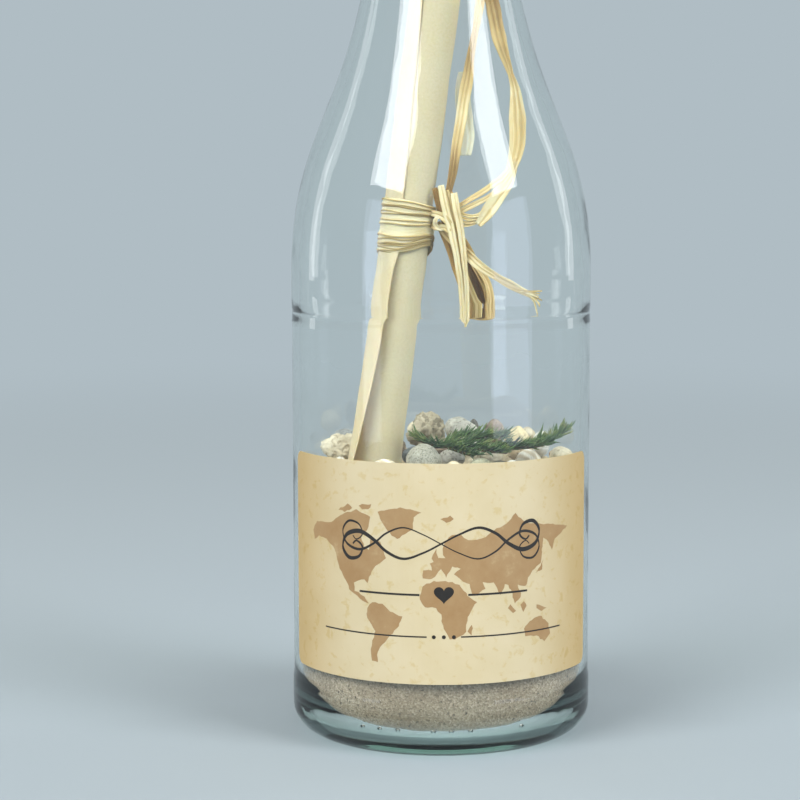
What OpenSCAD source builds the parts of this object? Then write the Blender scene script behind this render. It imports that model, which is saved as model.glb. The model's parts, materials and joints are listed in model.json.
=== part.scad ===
// Message in a bottle: a one litre clear glass bottle with a paper label, closed with a cork.
// Inside, a rolled letter tied with raffia stands on a bed of sand, pebbles and shells with a fir sprig.
// The bottle's axis is Z, its base is at z = 0 and the middle of the label faces -Y.

/* [Bottle] */
// Outside diameter of the body
body_d = 88.5; // [87:0.5:90]
// Height of the glass, from the base to the top of the lip
glass_h = 270; // [264:1:276]
// Outside diameter of the neck
neck_d = 38; // [37:0.5:39]
// Thickness of the side wall
wall_t = 2.75; // [2.5:0.05:2.9]
// Radius of the outside of the heel
heel_r = 8; // [6:0.5:9]
// Height of the inside floor at the foot of its dome
floor_z = 4.4; // [4:0.1:6]
// How far the rounding between the inside floor and the wall reaches in
corner_w = 8; // [7:0.5:12]
// How far the same rounding reaches up the wall
corner_h = 15; // [12:0.5:18]
// Rise of the hollow under the base
push_up = 4.5; // [3:0.5:5]
// Height at which the shoulder starts to curve in
shoulder_z = 137; // [134:1:139]
// Radius of the shoulder's outward curve
shoulder_r = 104; // [100:1:106]
// Radius of the curve that sweeps up into the neck
sweep_r = 175; // [170:1:178]
// Depth of the label panel below the body's own surface
panel_drop = 0.3; // [0.2:0.05:0.4]
// Height of the step between the label panel and the shoulder
step_z = 122.5; // [121:0.5:124]
// Outside diameter of the lip
lip_d = 43; // [42:0.5:44]
// Height of the lip
lip_h = 10; // [9:0.5:11]

/* [Label] */
// Height of the label's lower edge
label_z = 22.3; // [21:0.1:23]
// Height of the label
label_h = 62.5; // [60:0.5:64]
// Angle that the label wraps round the bottle
label_turn = 141; // [136:1:150]
// Thickness of the label's paper
label_t = 0.15; // [0.1:0.01:0.2]
// Radius of the label's corners
label_corner = 3; // [2:0.5:6]

/* [Cork] */
// Length of the cork
cork_l = 38; // [34:1:40]
// Length of the cork inside the bottle
cork_in = 20; // [16:1:22]
// Clearance between the cork and the edge of the bore
cork_gap = 0.05; // [0.03:0.01:0.08]
// How much the cork's radius grows for each millimetre of its length
cork_taper = 0.065; // [0.05:0.005:0.07]

/* [Sand and stones] */
// Height of the sand at the bottle's axis
sand_z = 72; // [71.6:0.1:72.1]
// Rise of the sand towards the back, for each millimetre
sand_slope = 0.1; // [0.09:0.01:0.11]
// How far the lower stones reach above the sand
bed_rise = 5.5; // [5:0.1:5.6]
// How far the lower stones are sunk into the sand
bed_sunk = 2.5; // [2:0.1:3]

/* [Letter] */
// Diameter of the rolled letter
roll_d = 15; // [14:0.25:15.2]
// Length of the roll, which is the short side of an A5 sheet
roll_l = 148; // [146:1:149]
// Thickness of each turn of paper
paper_t = 0.3; // [0.25:0.05:0.35]
// Distance from one turn of paper to the next
paper_pitch = 0.6; // [0.55:0.05:0.65]
// Turns of paper in the roll
paper_turns = 3.5; // [3:0.25:4]

/* [Raffia] */
// Turns of raffia round the letter
wrap_turns = 6; // [4:1:6]
// Distance from one turn to the next
wrap_pitch = 2.6; // [2.5:0.1:2.7]
// Width of the wound raffia
wrap_w = 2; // [1.6:0.1:2]
// Thickness of the wound raffia
wrap_t = 0.7; // [0.5:0.1:0.8]

/* [Hidden] */
$fn = 96;
body_r = body_d / 2;
neck_r = neck_d / 2;
lip_r = lip_d / 2;
panel_r = body_r - panel_drop;
inner_r = body_r - wall_t;
bore_r = neck_r - wall_t;
edge_r = 1.5;
stand_in = body_r - heel_r - 3.25;
panel_foot = 16;
step_h = 1.5;
lip_z = glass_h - lip_h;
// The shoulder's two curves meet where both lean at this angle
lean = acos(1 - (body_r - neck_r) / (shoulder_r + sweep_r));
neck_z = shoulder_z + (shoulder_r + sweep_r) * sin(lean);
floor_rise = 3.5;
touch = 0.1;
glue_t = 0.02;
// The roll stands on the sand at its foot and leans towards the middle of the mouth
foot = [-20, -9.6, sand_z + 0.8];
roll_dir = [0.13, 0.07, 1] / norm([0.13, 0.07, 1]);
roll_r = roll_d / 2;
wrap_from = 71;
wrap_r = roll_r + 0.15 + wrap_t / 2;
letter_room = roll_r + 0.6;

function sand_at(y) = sand_z + sand_slope * y;
function bed_at(y) = sand_at(y) + bed_rise + 0.3;
function arc(centre, r, from, to, steps) =
    [for (i = [0:steps]) let (a = from + (to - from) * i / steps) centre + r * [cos(a), sin(a)]];
// A point of the letter's own frame, where the roll's axis is z and its foot is at 0, in the bottle's
function of_roll(p) = let (
    side = cross([0, 1, 0], roll_dir) / norm(cross([0, 1, 0], roll_dir)),
    back = cross(roll_dir, side)) foot + p.x * side + p.y * back + p.z * roll_dir;
function roll_axis_at(z) = foot + roll_dir * (z - foot.z) / roll_dir.z;

// Stones and shells of the upper layer, placed as they lie: the name, the middle, the half sizes along
// and across, the lift above the lower layer, the height, the turn, the kind and the colour
STONES = [
    ["white_cockle", [-15.6, -27.6], [4.6, 3.5], 4.2, 4.6, 20, "cockle", "#ECE7DA"],
    ["round_grey_pebble", [-5, -26], [5.6, 5.6], 1.2, 11.8, 0, "pebble", "#A8A69D"],
    ["pale_egg_pebble", [3.5, -32], [4, 3.4], 0.2, 9.4, 70, "pebble", "#D9D3C2"],
    ["speckled_green_pebble", [11.2, -27], [4.4, 3.8], 0.2, 9, 10, "pebble", "#9A9A85"],
    ["bluish_white_pebble", [20, -26], [3.6, 3.3], 0.2, 8, 0, "pebble", "#CDD0CE"],
    ["small_tan_pebble", [27, -25], [3.2, 3], 0.2, 6, 40, "pebble", "#B59B77"],
    ["front_grey_pebble", [-9.5, -35], [3.8, 3.2], 0.2, 7, 15, "pebble", "#8F9090"],
    ["front_cream_cockle", [-25.2, -23], [4.8, 4], 0.2, 5.5, 60, "cockle", "#E3D5B4"],
    ["left_small_pebble", [-36, -10], [3.1, 2.8], 0.2, 5, 80, "pebble", "#B9AE97"],
    ["front_small_pebble", [12, -35.5], [3.1, 2.6], 0.2, 6, 0, "pebble", "#C9BFA6"],
    ["dark_flat_pebble", [-4, -13], [4.5, 4.1], 0.2, 5.6, 30, "pebble", "#5E5A52"],
    ["brown_turret_shell", [6, -15], [4.9, 2.6], 0.2, 5.2, 100, "turret", "#A98D68"],
    ["olive_pebble", [17, -15.5], [4.7, 4.1], 0.2, 5.4, 10, "pebble", "#7C7A62"],
    ["sandstone_pebble", [28, -14.5], [4.4, 3.9], 0.2, 5.4, 60, "pebble", "#C8AF84"],
    ["middle_grey_pebble", [3, -3], [4.5, 4], 0.2, 6, 0, "pebble", "#9B9A94"],
    ["middle_cream_stone", [14, -4.5], [4.9, 4.3], 0.2, 6.4, 20, "rough", "#D5C7A2"],
    ["slate_pebble", [-8, 0], [4.5, 4], 0.2, 6.2, 70, "pebble", "#6F7478"],
    ["ribbed_cream_shell", [26, -4], [4.6, 4.1], 0.2, 6.2, 160, "cockle", "#EFE6CB"],
    ["smooth_white_shell", [35.5, -4], [3.9, 3.7], 0.2, 6.8, 90, "pebble", "#F1ECDD"],
    ["right_turret_shell", [35, 6], [3.6, 2.2], 0.2, 4.4, 75, "turret", "#C7B394"],
    ["right_tan_pebble", [24, 6], [4.4, 4], 0.2, 6.4, 0, "pebble", "#BFA985"],
    ["dove_grey_pebble", [12.5, 6], [4.7, 4.2], 0.2, 6.6, 30, "pebble", "#B1AFA8"],
    ["back_brown_pebble", [0.5, 8], [4.9, 4.2], 0.2, 6.8, 10, "pebble", "#86735C"],
    ["rough_beige_stone", [-4.5, 20.5], [6.5, 5.6], 0.2, 11.1, 10, "rough", "#BDB4A0"],
    ["flat_grey_pebble", [7.5, 16.5], [5.2, 4.3], 0.2, 10.1, 0, "pebble", "#B4B5B0"],
    ["taupe_stone", [16.7, 24.5], [3.9, 3.4], 0.2, 9, 0, "rough", "#A08E7C"],
    ["dark_brown_stone", [10.4, 25.2], [1.9, 1.9], 0.2, 9, 0, "pebble", "#5B4636"],
    ["yellow_cream_stone", [23.5, 16], [4.6, 4.1], 0.2, 8.3, 0, "rough", "#DCCB9A"],
    ["white_pebble", [31, 12.5], [3.2, 3.2], 0.2, 8, 0, "pebble", "#DAD8D0"],
    ["cream_mound_stone", [-28.8, 4], [8.8, 6.2], 0.2, 8.9, 5, "rough", "#DDD2B8"],
    ["white_chip", [-29, -14], [2.5, 2.2], 0.2, 6.4, 45, "rough", "#E8E4D8"],
    ["left_back_pebble", [-14.8, 9.6], [4.5, 4], 0.2, 7, 0, "pebble", "#97856C"],
    ["back_cockle", [-17.5, 24], [5.4, 4.8], 0.2, 6.6, 200, "cockle", "#E6DCC4"],
    ["left_back_grey_pebble", [-30, 18.5], [4.6, 4.1], 0.2, 7, 50, "pebble", "#8B8C88"],
    ["back_cream_pebble", [-6, 33.5], [5.2, 4.4], 0.2, 7, 0, "pebble", "#D6CBB0"],
    ["back_grey_pebble", [5.5, 33], [4.8, 4.2], 0.2, 7.6, 15, "pebble", "#9EA09E"],
    ["back_turret_shell", [17.5, 33], [3.9, 2.3], 0.2, 4.6, 150, "turret", "#B99B78"],
    ["right_back_pebble", [27, 25], [3.7, 3.3], 0.2, 6.4, 45, "pebble", "#C2B79D"],
];
BED_COLOURS = ["#CFC3A4", "#A3A29B", "#A58A67"];

// Routes of the free raffia strands, by eye, from the knot outwards
KNOT = [-0.2, -9.8, 152.4];
TALL_LOOP = [
    [1, -8.6, 155], [2.2, -8, 160], [3.2, -7, 166], [4.6, -5.6, 174], [6.2, -4, 182], [7.4, -3, 190],
    [8.6, -2, 198], [11, -1, 206], [13.4, 0, 213], [15.2, 0.4, 219], [16.8, 0.2, 219.6], [17.6, -0.4, 214],
    [18.6, -1.6, 204], [20, -3, 195], [21.6, -4, 188], [22.6, -5, 180], [22.4, -6.2, 172],
    [20, -7.4, 165], [15.5, -8.4, 159.4], [10, -9, 156], [4.6, -9.4, 154],
];
LONG_TAIL = [
    [0.6, -10.4, 156.6], [2, -10.8, 152], [3.2, -11, 148], [4.2, -11.2, 144], [5.2, -11.4, 140],
    [5.8, -11.4, 136], [6.2, -11.4, 132], [6.5, -11.2, 128], [6.7, -11, 124], [6.8, -10.8, 118.4],
];
BOW_LOOP = [
    [0.6, -8.6, 150], [2.4, -8, 145.6], [4.2, -7.8, 140.6], [6, -7.8, 135.6], [7.8, -7.8, 131],
    [9.8, -7.8, 127], [12.6, -7.6, 125], [14.6, -7, 127], [14.2, -6, 131.4], [12.4, -5.2, 135.8],
    [10.2, -4.8, 139.6], [7.6, -4.8, 143.6], [4.8, -5.4, 147.4], [2.2, -6.6, 150.6],
];
FRAYED_TAIL = [
    [1.4, -12, 150.6], [4, -12.8, 146.6], [7, -13.6, 142.8], [10.4, -14.2, 139.4], [14.2, -14.8, 136],
    [18.4, -15.4, 133], [23, -15.8, 130.8], [27.8, -16.2, 129.2],
];
STRAY_STRIP = [
    [8.4, -5.4, 194], [6.8, -6.4, 188.4], [5.8, -7.2, 182.6], [6, -7.8, 176.6], [7.6, -8.2, 171.2],
];
// The sprig's stem and side twigs, from the cut end to the tip
SPRIG = [
    [[-5, -13.4, 85.6], [0, -14, 85.8], [6, -14.4, 85.6], [12, -14, 85.2], [18, -13, 85],
        [24, -11.6, 85.2], [29, -9.8, 86], [33.4, -7.8, 87.4], [37.2, -5.2, 89.2]],
    [[0, -14, 85.8], [-2.8, -15.4, 86.6], [-5.4, -16, 87.6], [-7.6, -16, 88.8]],
    [[0, -14, 85.8], [3, -11.4, 87.2], [6, -9, 88.2], [9, -7.4, 88.8]],
    [[5, -14.3, 85.6], [8, -12.8, 87], [11.2, -11.8, 88.2], [14.4, -11.2, 89]],
    [[9, -14.2, 85.4], [12, -11.4, 86.4], [15.4, -9.2, 87.4], [19, -7.8, 87.8]],
    [[2, -14.1, 85.7], [4.4, -16.6, 85], [6.8, -18.8, 84.4], [9.4, -20.6, 84]],
    [[9.6, -14.2, 85.4], [12.4, -16.8, 85], [15.4, -18.8, 84.8], [18.8, -20.2, 84.8]],
    [[15, -13.6, 85.1], [18, -15.4, 85.6], [21.4, -16.8, 86], [25, -17.6, 86.4]],
    [[22, -12.2, 85.1], [25, -13.6, 85.4], [28.2, -14.4, 86], [31.4, -14.6, 86.8]],
];
needle_l = 4.2;
needle_r = 0.4;
needle_step = 0.9;

// A closed skin over rings that have the same number of points, counter-clockwise seen from the last ring
module skin(rings) {
    sides = len(rings[0]);
    last = len(rings) - 1;
    points = [for (ring = rings) for (p = ring) p];
    walls = [for (i = [0:last - 1]) for (j = [0:sides - 1]) let (
        a = i * sides + j,
        b = i * sides + (j + 1) % sides) each [[a, a + sides, b], [b, a + sides, b + sides]]];
    foot_cap = [for (j = [1:sides - 2]) [0, j, j + 1]];
    head_cap = [for (j = [1:sides - 2]) [last * sides, last * sides + j + 1, last * sides + j]];
    polyhedron(points = points, faces = concat(foot_cap, walls, head_cap));
}

// The direction of a route at its point i
function heading(route, i) = let (
    d = route[min(i + 1, len(route) - 1)] - route[max(i - 1, 0)]) d / norm(d);
// Rings round a route: w is the width across the line of sight from the front, t the thickness
function strand_rings(route, w, t, sides) = [for (i = [0:len(route) - 1]) let (
    way = heading(route, i),
    across = cross(way, [0, 1, 0]) / norm(cross(way, [0, 1, 0])),
    deep = cross(way, across),
    end = i == 0 || i == len(route) - 1 ? 0.7 : 1)
    [for (j = [0:sides - 1]) route[i] + end * (across * cos(360 * j / sides) * w / 2
        + deep * sin(360 * j / sides) * t / 2)]];

// Rings up the outside of the bottle's outline, from the middle of the base to the top of the lip
function outside() = concat(
    [for (i = [0:6]) let (r = stand_in * i / 6) [r, push_up * (1 - pow(r / stand_in, 2))]],
    arc([body_r - heel_r, heel_r], heel_r, -90, 0, 12),
    [[body_r, panel_foot], [panel_r, panel_foot + step_h]],
    [[panel_r, step_z], [body_r, step_z + step_h]],
    arc([body_r - shoulder_r, shoulder_z], shoulder_r, 0, lean, 16),
    arc([neck_r + sweep_r, neck_z], sweep_r, 180 + lean, 180, 20),
    [[neck_r, lip_z]],
    arc([lip_r - edge_r, lip_z + edge_r], edge_r, -90, 0, 6),
    arc([lip_r - edge_r, glass_h - edge_r], edge_r, 0, 90, 6));
function inside() = concat(
    arc([bore_r + edge_r, glass_h - edge_r], edge_r, 90, 180, 6),
    arc([neck_r + sweep_r, neck_z], sweep_r + wall_t, 180, 180 + lean, 20),
    arc([body_r - shoulder_r, shoulder_z], shoulder_r - wall_t, lean, 0, 16),
    floor_line(0));
// The inside from the foot of the wall to the middle of the floor, drawn in by a gap
function floor_line(gap) = concat(
    [for (i = [0:12]) let (a = -90 * i / 12)
        [inner_r - corner_w + (corner_w - gap) * cos(a), floor_z + corner_h + (corner_h - gap) * sin(a)]],
    [for (i = [1:6]) let (r = (inner_r - corner_w) * (1 - i / 6))
        [r, floor_z + gap + floor_rise * (1 - pow(r / (inner_r - corner_w), 2))]]);

module bottle() {
    color("#B9D2CC", 0.35)
        rotate_extrude() polygon(concat(outside(), inside()));
}

module label_corner_cut() {
    rotate([90, 0, 90])
        linear_extrude(body_d)
            difference() {
                translate([-1, -1]) square(label_corner + 1);
                // A hair larger than the corner, so that the cut crosses the edges and doesn't only touch them
                translate([label_corner, label_corner]) circle(label_corner + 0.02);
            }
}

module label() {
    color("#E9DBB3")
        difference() {
            rotate([0, 0, -90 - label_turn / 2])
                rotate_extrude(angle = label_turn)
                    translate([panel_r + glue_t, label_z]) square([label_t, label_h]);
            for (side = [-1, 1]) {
                rotate([0, 0, -90 + side * label_turn / 2]) {
                    translate([0, 0, label_z]) mirror([0, (1 + side) / 2, 0]) label_corner_cut();
                    translate([0, 0, label_z + label_h])
                        mirror([0, (1 + side) / 2, 0]) mirror([0, 0, 1]) label_corner_cut();
                }
            }
        }
}

module cork() {
    low = glass_h - cork_in;
    top = low + cork_l;
    bite = glass_h - edge_r;
    function cork_r(z) = bore_r - cork_gap + (z - bite) * cork_taper;
    color("#C79F6B")
        rotate_extrude()
            polygon([[0, low], [cork_r(low) - 1, low], [cork_r(low + 1), low + 1],
                [cork_r(top - 1), top - 1], [cork_r(top) - 1, top], [0, top]]);
}

// The lower stones lie in three rings round the axis, and keep clear of the foot of the letter
function bed_ring(r, count, half, turn) = [for (k = [0:count - 1]) let (
    a = 205.6 + turn + 360 * k / count,
    at = r * [cos(a), sin(a)],
    room = norm(at - [foot.x, foot.y]) - letter_room)
    if (room > 3) [at, min(half * (0.94 + 0.05 * sin(97 * k)), room), k]];
BED = concat(bed_ring(34.4, 16, 6.4, 0), bed_ring(21.5, 10, 6.3, 0), bed_ring(8.5, 4, 5.6, 45));

module sand() {
    color("#B8AE99")
        difference() {
            rotate_extrude()
                polygon(concat([[0, sand_z + 8], [inner_r - touch, sand_z + 8]], floor_line(touch)));
            translate([0, 0, sand_z]) rotate([atan(sand_slope), 0, 0])
                translate([-body_d, -body_d, 0]) cube([2 * body_d, 2 * body_d, 30]);
            for (s = BED) {
                dent_r = pow(s[1], 2) / (bed_rise + bed_sunk) * 2.3;
                translate([s[0].x, s[0].y, sand_at(s[0].y) - bed_sunk - 0.4 + dent_r]) sphere(dent_r);
            }
        }
}

// A rounded stone that stands on z = 0: lumps is how uneven it is, seed makes each one different
module stone(half, height, seed, lumps, sides = 12, levels = 6) {
    skin([for (i = [0:levels]) let (f = -78 + 156 * i / levels)
        [for (j = [0:sides - 1]) let (
            t = 360 * j / sides,
            swell = 1 - lumps * (0.5 + 0.5 * sin(2 * t + 67 * seed) * cos(f + 40 * seed)),
            knob = 1 - lumps * (0.5 + 0.5 * sin(4 * t - 5 * f + 131 * seed)))
            [half.x * cos(f) * cos(t) * swell * knob, half.y * cos(f) * sin(t) * swell * knob,
                height / 2 * (1 + sin(f) / sin(78) * (abs(i - levels / 2) < levels / 2 ? knob : 1))]]]);
}

// Half a cockle, open side down: ribs fan out from the beak
module cockle(half, height) {
    sides = 36;
    skin([for (i = [0:6]) let (f = 84 * i / 6, lean_back = 0.35 * half.y * sin(f))
        [for (j = [0:sides - 1]) let (
            t = 360 * j / sides,
            rib = 1 - 0.04 * cos(f) * (1 + cos(12 * t)))
            [half.x * cos(f) * cos(t) * rib, half.y * cos(f) * sin(t) * rib + lean_back,
                height * sin(f) / sin(84)]]]);
}

// A slender turret shell on its side, its whorls as a spiral swelling that thins towards the tip
module turret(half, height) {
    sides = 12;
    rings = 20;
    translate([0, 0, height / 2]) rotate([0, 90, 0])
        skin([for (i = [0:rings]) let (s = i / rings, r = 0.94 * sqrt(1 - 0.98 * s))
            [for (j = [0:sides - 1]) let (
                t = 360 * j / sides,
                whorl = 1 - 0.07 * (1 + cos(t - 360 * 4 * s)))
                [height / 2 * r * whorl * (1 - 0.55 * s) * cos(t), half.y * r * whorl * (1 - 0.55 * s) * sin(t),
                    half.x * (2 * s - 1)]]]);
}

module upper_stone(i) {
    s = STONES[i];
    at = s[1];
    color(s[7])
        translate([at.x, at.y, bed_at(at.y) + s[3]]) rotate([0, 0, s[5]]) {
            if (s[6] == "pebble") stone(s[2], s[4], i, 0.04);
            if (s[6] == "rough") stone(s[2], s[4], i, 0.11, 14, 8);
            if (s[6] == "cockle") cockle(s[2], s[4]);
            if (s[6] == "turret") turret(s[2], s[4]);
        }
}

module bed_stones(sort) {
    color(BED_COLOURS[sort])
        for (i = [sort:3:len(BED) - 1]) {
            s = BED[i];
            translate([s[0].x, s[0].y, sand_at(s[0].y) - bed_sunk])
                stone([s[1], s[1] * 0.94], bed_rise + bed_sunk, i, 0.03, 10, 5);
        }
}

// One stretch of the rolled sheet in section, from one angle to another; the last turn ends at 360
function paper_r(a) = roll_r - paper_pitch * (360 - a) / 360;
function paper_line(from, to) = let (steps = ceil((to - from) / 12)) concat(
    [for (i = [0:steps]) let (a = from + (to - from) * i / steps) paper_r(a) * [cos(a), sin(a)]],
    [for (i = [steps:-1:0]) let (a = from + (to - from) * i / steps)
        (paper_r(a) - paper_t) * [cos(a), sin(a)]]);

module in_roll_frame() {
    side_tilt = asin(roll_dir.x);
    back_tilt = atan2(-roll_dir.y, roll_dir.z);
    translate(foot) rotate([back_tilt, 0, 0]) rotate([0, side_tilt, 0]) children();
}

// The free edge of the sheet runs slantwise round the front, from the left at the foot
module letter_roll() {
    color("#E6DBB4")
        in_roll_frame() {
            linear_extrude(roll_l) polygon(paper_line(180 - 360 * (paper_turns - 0.5), 180));
            intersection() {
                linear_extrude(roll_l) polygon(paper_line(178, 360));
                rotate([90, 0, 0]) translate([0, 0, -roll_d])
                    linear_extrude(2 * roll_d)
                        polygon([[-roll_d, -1], [-roll_r + 1, -1], [roll_r + 1, roll_l + 1], [-roll_d, roll_l + 1]]);
            }
        }
}

// The wound raffia: 24 rings of 6 sides to a turn, and straight ends
WRAP = concat(
    [[wrap_r, -wrap_w, wrap_from]],
    [for (i = [0:24 * wrap_turns]) [wrap_r * cos(15 * i), wrap_r * sin(15 * i), wrap_from + wrap_pitch * i / 24]],
    [[wrap_r, wrap_w, wrap_from + wrap_pitch * wrap_turns]]);
WRAP_RINGS = [for (i = [0:len(WRAP) - 1]) let (
    out = i == 0 || i == len(WRAP) - 1 ? [1, 0, 0] : [WRAP[i].x, WRAP[i].y, 0] / wrap_r)
    [for (j = [0:5]) of_roll(WRAP[i] + out * cos(60 * j) * wrap_t / 2 + [0, 0, -sin(60 * j) * wrap_w / 2])]];
WRAP_GAP = min([for (i = [1:len(WRAP_RINGS) - 25]) for (k = [20:24]) if (i + k < len(WRAP_RINGS))
    for (p = WRAP_RINGS[i]) for (q = WRAP_RINGS[i + k]) norm(p - q)]);
echo(str("least gap of the wound raffia to itself, mm: ", WRAP_GAP));

module raffia_wrap() {
    color("#E7D5A6") skin(WRAP_RINGS);
}

// An overhand knot, as a closed tube
module raffia_knot() {
    rings = 48;
    size = 0.8;
    tube = 0.55;
    function run(a) = size * [sin(a) + 2 * sin(2 * a), -sin(3 * a), cos(a) - 2 * cos(2 * a)];
    centres = [for (i = [0:rings - 1]) run(360 * i / rings)];
    points = [for (i = [0:rings - 1]) let (
        way = centres[(i + 1) % rings] - centres[(i + rings - 1) % rings],
        across = cross(way, [0, 1, 0]) / norm(cross(way, [0, 1, 0])),
        deep = cross(way, across) / norm(way)) for (j = [0:5])
        centres[i] + tube * (across * cos(60 * j) + deep * sin(60 * j))];
    faces = [for (i = [0:rings - 1]) for (j = [0:5]) let (
        a = 6 * i + j,
        b = 6 * i + (j + 1) % 6,
        c = 6 * ((i + 1) % rings) + j,
        d = 6 * ((i + 1) % rings) + (j + 1) % 6) each [[a, c, b], [b, c, d]]];
    color("#C99A55") translate(KNOT) polyhedron(points = points, faces = faces);
}

module raffia_tall_loop() {
    color("#E3CB93") skin(strand_rings(TALL_LOOP, 3, 1, 8));
}

module raffia_bow_loop() {
    color("#D2AF6C") skin(strand_rings(BOW_LOOP, 2.4, 1.2, 8));
}

module raffia_long_tail() {
    color("#E0C489") skin(strand_rings(LONG_TAIL, 3.6, 1, 8));
}

module raffia_frayed_tail() {
    color("#E8D5A8") skin(strand_rings(FRAYED_TAIL, 2.6, 1, 8));
}

module raffia_stray_strip() {
    color("#E9E2C4") skin(strand_rings(STRAY_STRIP, 3, 0.4, 8));
}

module sprig_stem() {
    color("#4A3B22")
        for (twig = SPRIG) skin(strand_rings(twig, 1.1, 1.1, 6));
}

// A needle that tapers to both ends, from its foot at the origin along a direction
module needle(way) {
    across = cross(way, [0, 0, 1]) / norm(cross(way, [0, 0, 1]));
    up = cross(across, way);
    belly = [for (j = [0:2]) way * needle_l * 0.4 + needle_r * (across * cos(120 * j) + up * sin(120 * j))];
    polyhedron(points = concat([[0, 0, 0]], belly, [way * needle_l]),
        faces = [[0, 2, 1], [0, 3, 2], [0, 1, 3], [4, 1, 2], [4, 2, 3], [4, 3, 1]]);
}

// Needles stand off each twig by turns of the golden angle, where they clear the letter and the glass
module sprig_needles() {
    color("#3F6B40")
        for (twig = SPRIG) for (i = [0:len(twig) - 2]) {
            leg = twig[i + 1] - twig[i];
            for (k = [0:floor(norm(leg) / needle_step)]) {
                s = k * needle_step / norm(leg);
                turn = 137.5 * (k + 7 * i);
                way_along = leg / norm(leg);
                across = cross(way_along, [0, 0, 1]) / norm(cross(way_along, [0, 0, 1]));
                up = cross(across, way_along);
                lift = abs(sin(turn)) * 0.9 + 0.05;
                raw = way_along * 0.8 + across * cos(turn) + up * lift;
                way = raw / norm(raw);
                at = twig[i] + leg * s;
                tip = at + way * needle_l;
                off = tip - roll_axis_at(tip.z);
                if (norm([off.x, off.y]) > letter_room + 0.6 && norm([tip.x, tip.y]) < inner_r - 1)
                    translate(at) needle(way);
            }
        }
}

bottle();
label();
cork();
sand();
bed_stones(0);  // bed_cream_stones
bed_stones(1);  // bed_grey_stones
bed_stones(2);  // bed_brown_stones
for (i = [0:len(STONES) - 1]) upper_stone(i);
letter_roll();
raffia_wrap();
raffia_knot();
raffia_tall_loop();
raffia_bow_loop();
raffia_long_tail();
raffia_frayed_tail();
raffia_stray_strip();
sprig_stem();
sprig_needles();
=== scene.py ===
import json
import math
import random

import bmesh
import bpy
from mathutils import Matrix, Vector, noise
from mathutils.bvhtree import BVHTree


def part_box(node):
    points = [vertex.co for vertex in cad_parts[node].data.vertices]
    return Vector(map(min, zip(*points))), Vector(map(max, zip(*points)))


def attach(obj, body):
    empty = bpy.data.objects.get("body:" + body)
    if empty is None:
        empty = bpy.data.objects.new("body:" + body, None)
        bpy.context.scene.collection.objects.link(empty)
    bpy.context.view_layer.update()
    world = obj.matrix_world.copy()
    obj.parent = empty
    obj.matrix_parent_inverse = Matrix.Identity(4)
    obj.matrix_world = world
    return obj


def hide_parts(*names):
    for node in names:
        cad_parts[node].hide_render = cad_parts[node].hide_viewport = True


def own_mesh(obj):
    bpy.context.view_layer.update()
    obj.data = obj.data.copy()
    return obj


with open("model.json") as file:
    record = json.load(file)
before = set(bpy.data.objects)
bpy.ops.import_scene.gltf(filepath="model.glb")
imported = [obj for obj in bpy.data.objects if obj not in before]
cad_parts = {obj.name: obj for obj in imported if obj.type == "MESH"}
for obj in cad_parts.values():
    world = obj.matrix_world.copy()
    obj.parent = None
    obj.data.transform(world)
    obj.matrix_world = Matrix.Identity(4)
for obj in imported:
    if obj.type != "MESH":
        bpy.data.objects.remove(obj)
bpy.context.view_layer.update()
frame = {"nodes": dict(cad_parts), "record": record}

# Everything below is worked out in millimetres and turned to metres by MM.
MM = 0.001
scene = bpy.context.scene
scene.view_settings.view_transform = "Standard"


# The camera stands 639 mm in front of the bottle's axis and looks 6.3 degrees down through a long lens.
# The bottle stands a little to the right of the middle of the photograph, hence the shift.
PICTURE_PX, FOCAL_PX, AXIS_PX = 800, 2169.4, 441
CAMERA_BACK, CAMERA_UP, LOOK_DOWN = 639.3, 168.44, 6.313
camera_data = bpy.data.cameras.new("camera")
camera_data.sensor_width = 36
camera_data.lens = FOCAL_PX / PICTURE_PX * camera_data.sensor_width
camera_data.shift_x = (PICTURE_PX / 2 - AXIS_PX) / PICTURE_PX
camera_data.clip_start = 0.01
camera = bpy.data.objects.new("camera", camera_data)
camera.location = (0, -CAMERA_BACK * MM, CAMERA_UP * MM)
camera.rotation_euler = (math.radians(90 - LOOK_DOWN), 0, 0)
scene.collection.objects.link(camera)
scene.camera = camera


def linear(code):
    """An sRGB hex colour as Blender's linear colour."""
    parts = [int(code[i:i + 2], 16) / 255 for i in (1, 3, 5)]
    return tuple(c / 12.92 if c <= 0.04045 else ((c + 0.055) / 1.055) ** 2.4 for c in parts) + (1,)


def new_finish(name):
    """A material without nodes, ready for its own."""
    material = bpy.data.materials.new(name)
    material.use_nodes = True
    material.node_tree.nodes.clear()
    return material


def add(material, kind, inputs=None, stops=None, **settings):
    """Adds a node: inputs are values or sockets, stops are a ramp's places and hex colours."""
    made = material.node_tree.nodes.new("ShaderNode" + kind)
    for key, value in settings.items():
        setattr(made, key, value)
    for key, value in (inputs or {}).items():
        if isinstance(value, bpy.types.NodeSocket):
            material.node_tree.links.new(value, made.inputs[key])
        else:
            made.inputs[key].default_value = value
    for i, (place, code) in enumerate(stops or []):
        mark = made.color_ramp.elements[i] if i < 2 else made.color_ramp.elements.new(place)
        mark.position = place
        mark.color = linear(code)
    return made


def make_piece(name, bm, material, body, slot, *nodes):
    """Turns a finished bmesh into a smooth piece that rides on a body and stands for CAD nodes."""
    mesh = bpy.data.meshes.new(name)
    bm.to_mesh(mesh)
    bm.free()
    for face in mesh.polygons:
        face.use_smooth = True
    mesh.materials.append(material)
    piece = bpy.data.objects.new(name, mesh)
    scene.collection.objects.link(piece)
    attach(piece, body)
    if nodes:
        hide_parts(*nodes)
    return piece


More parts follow.
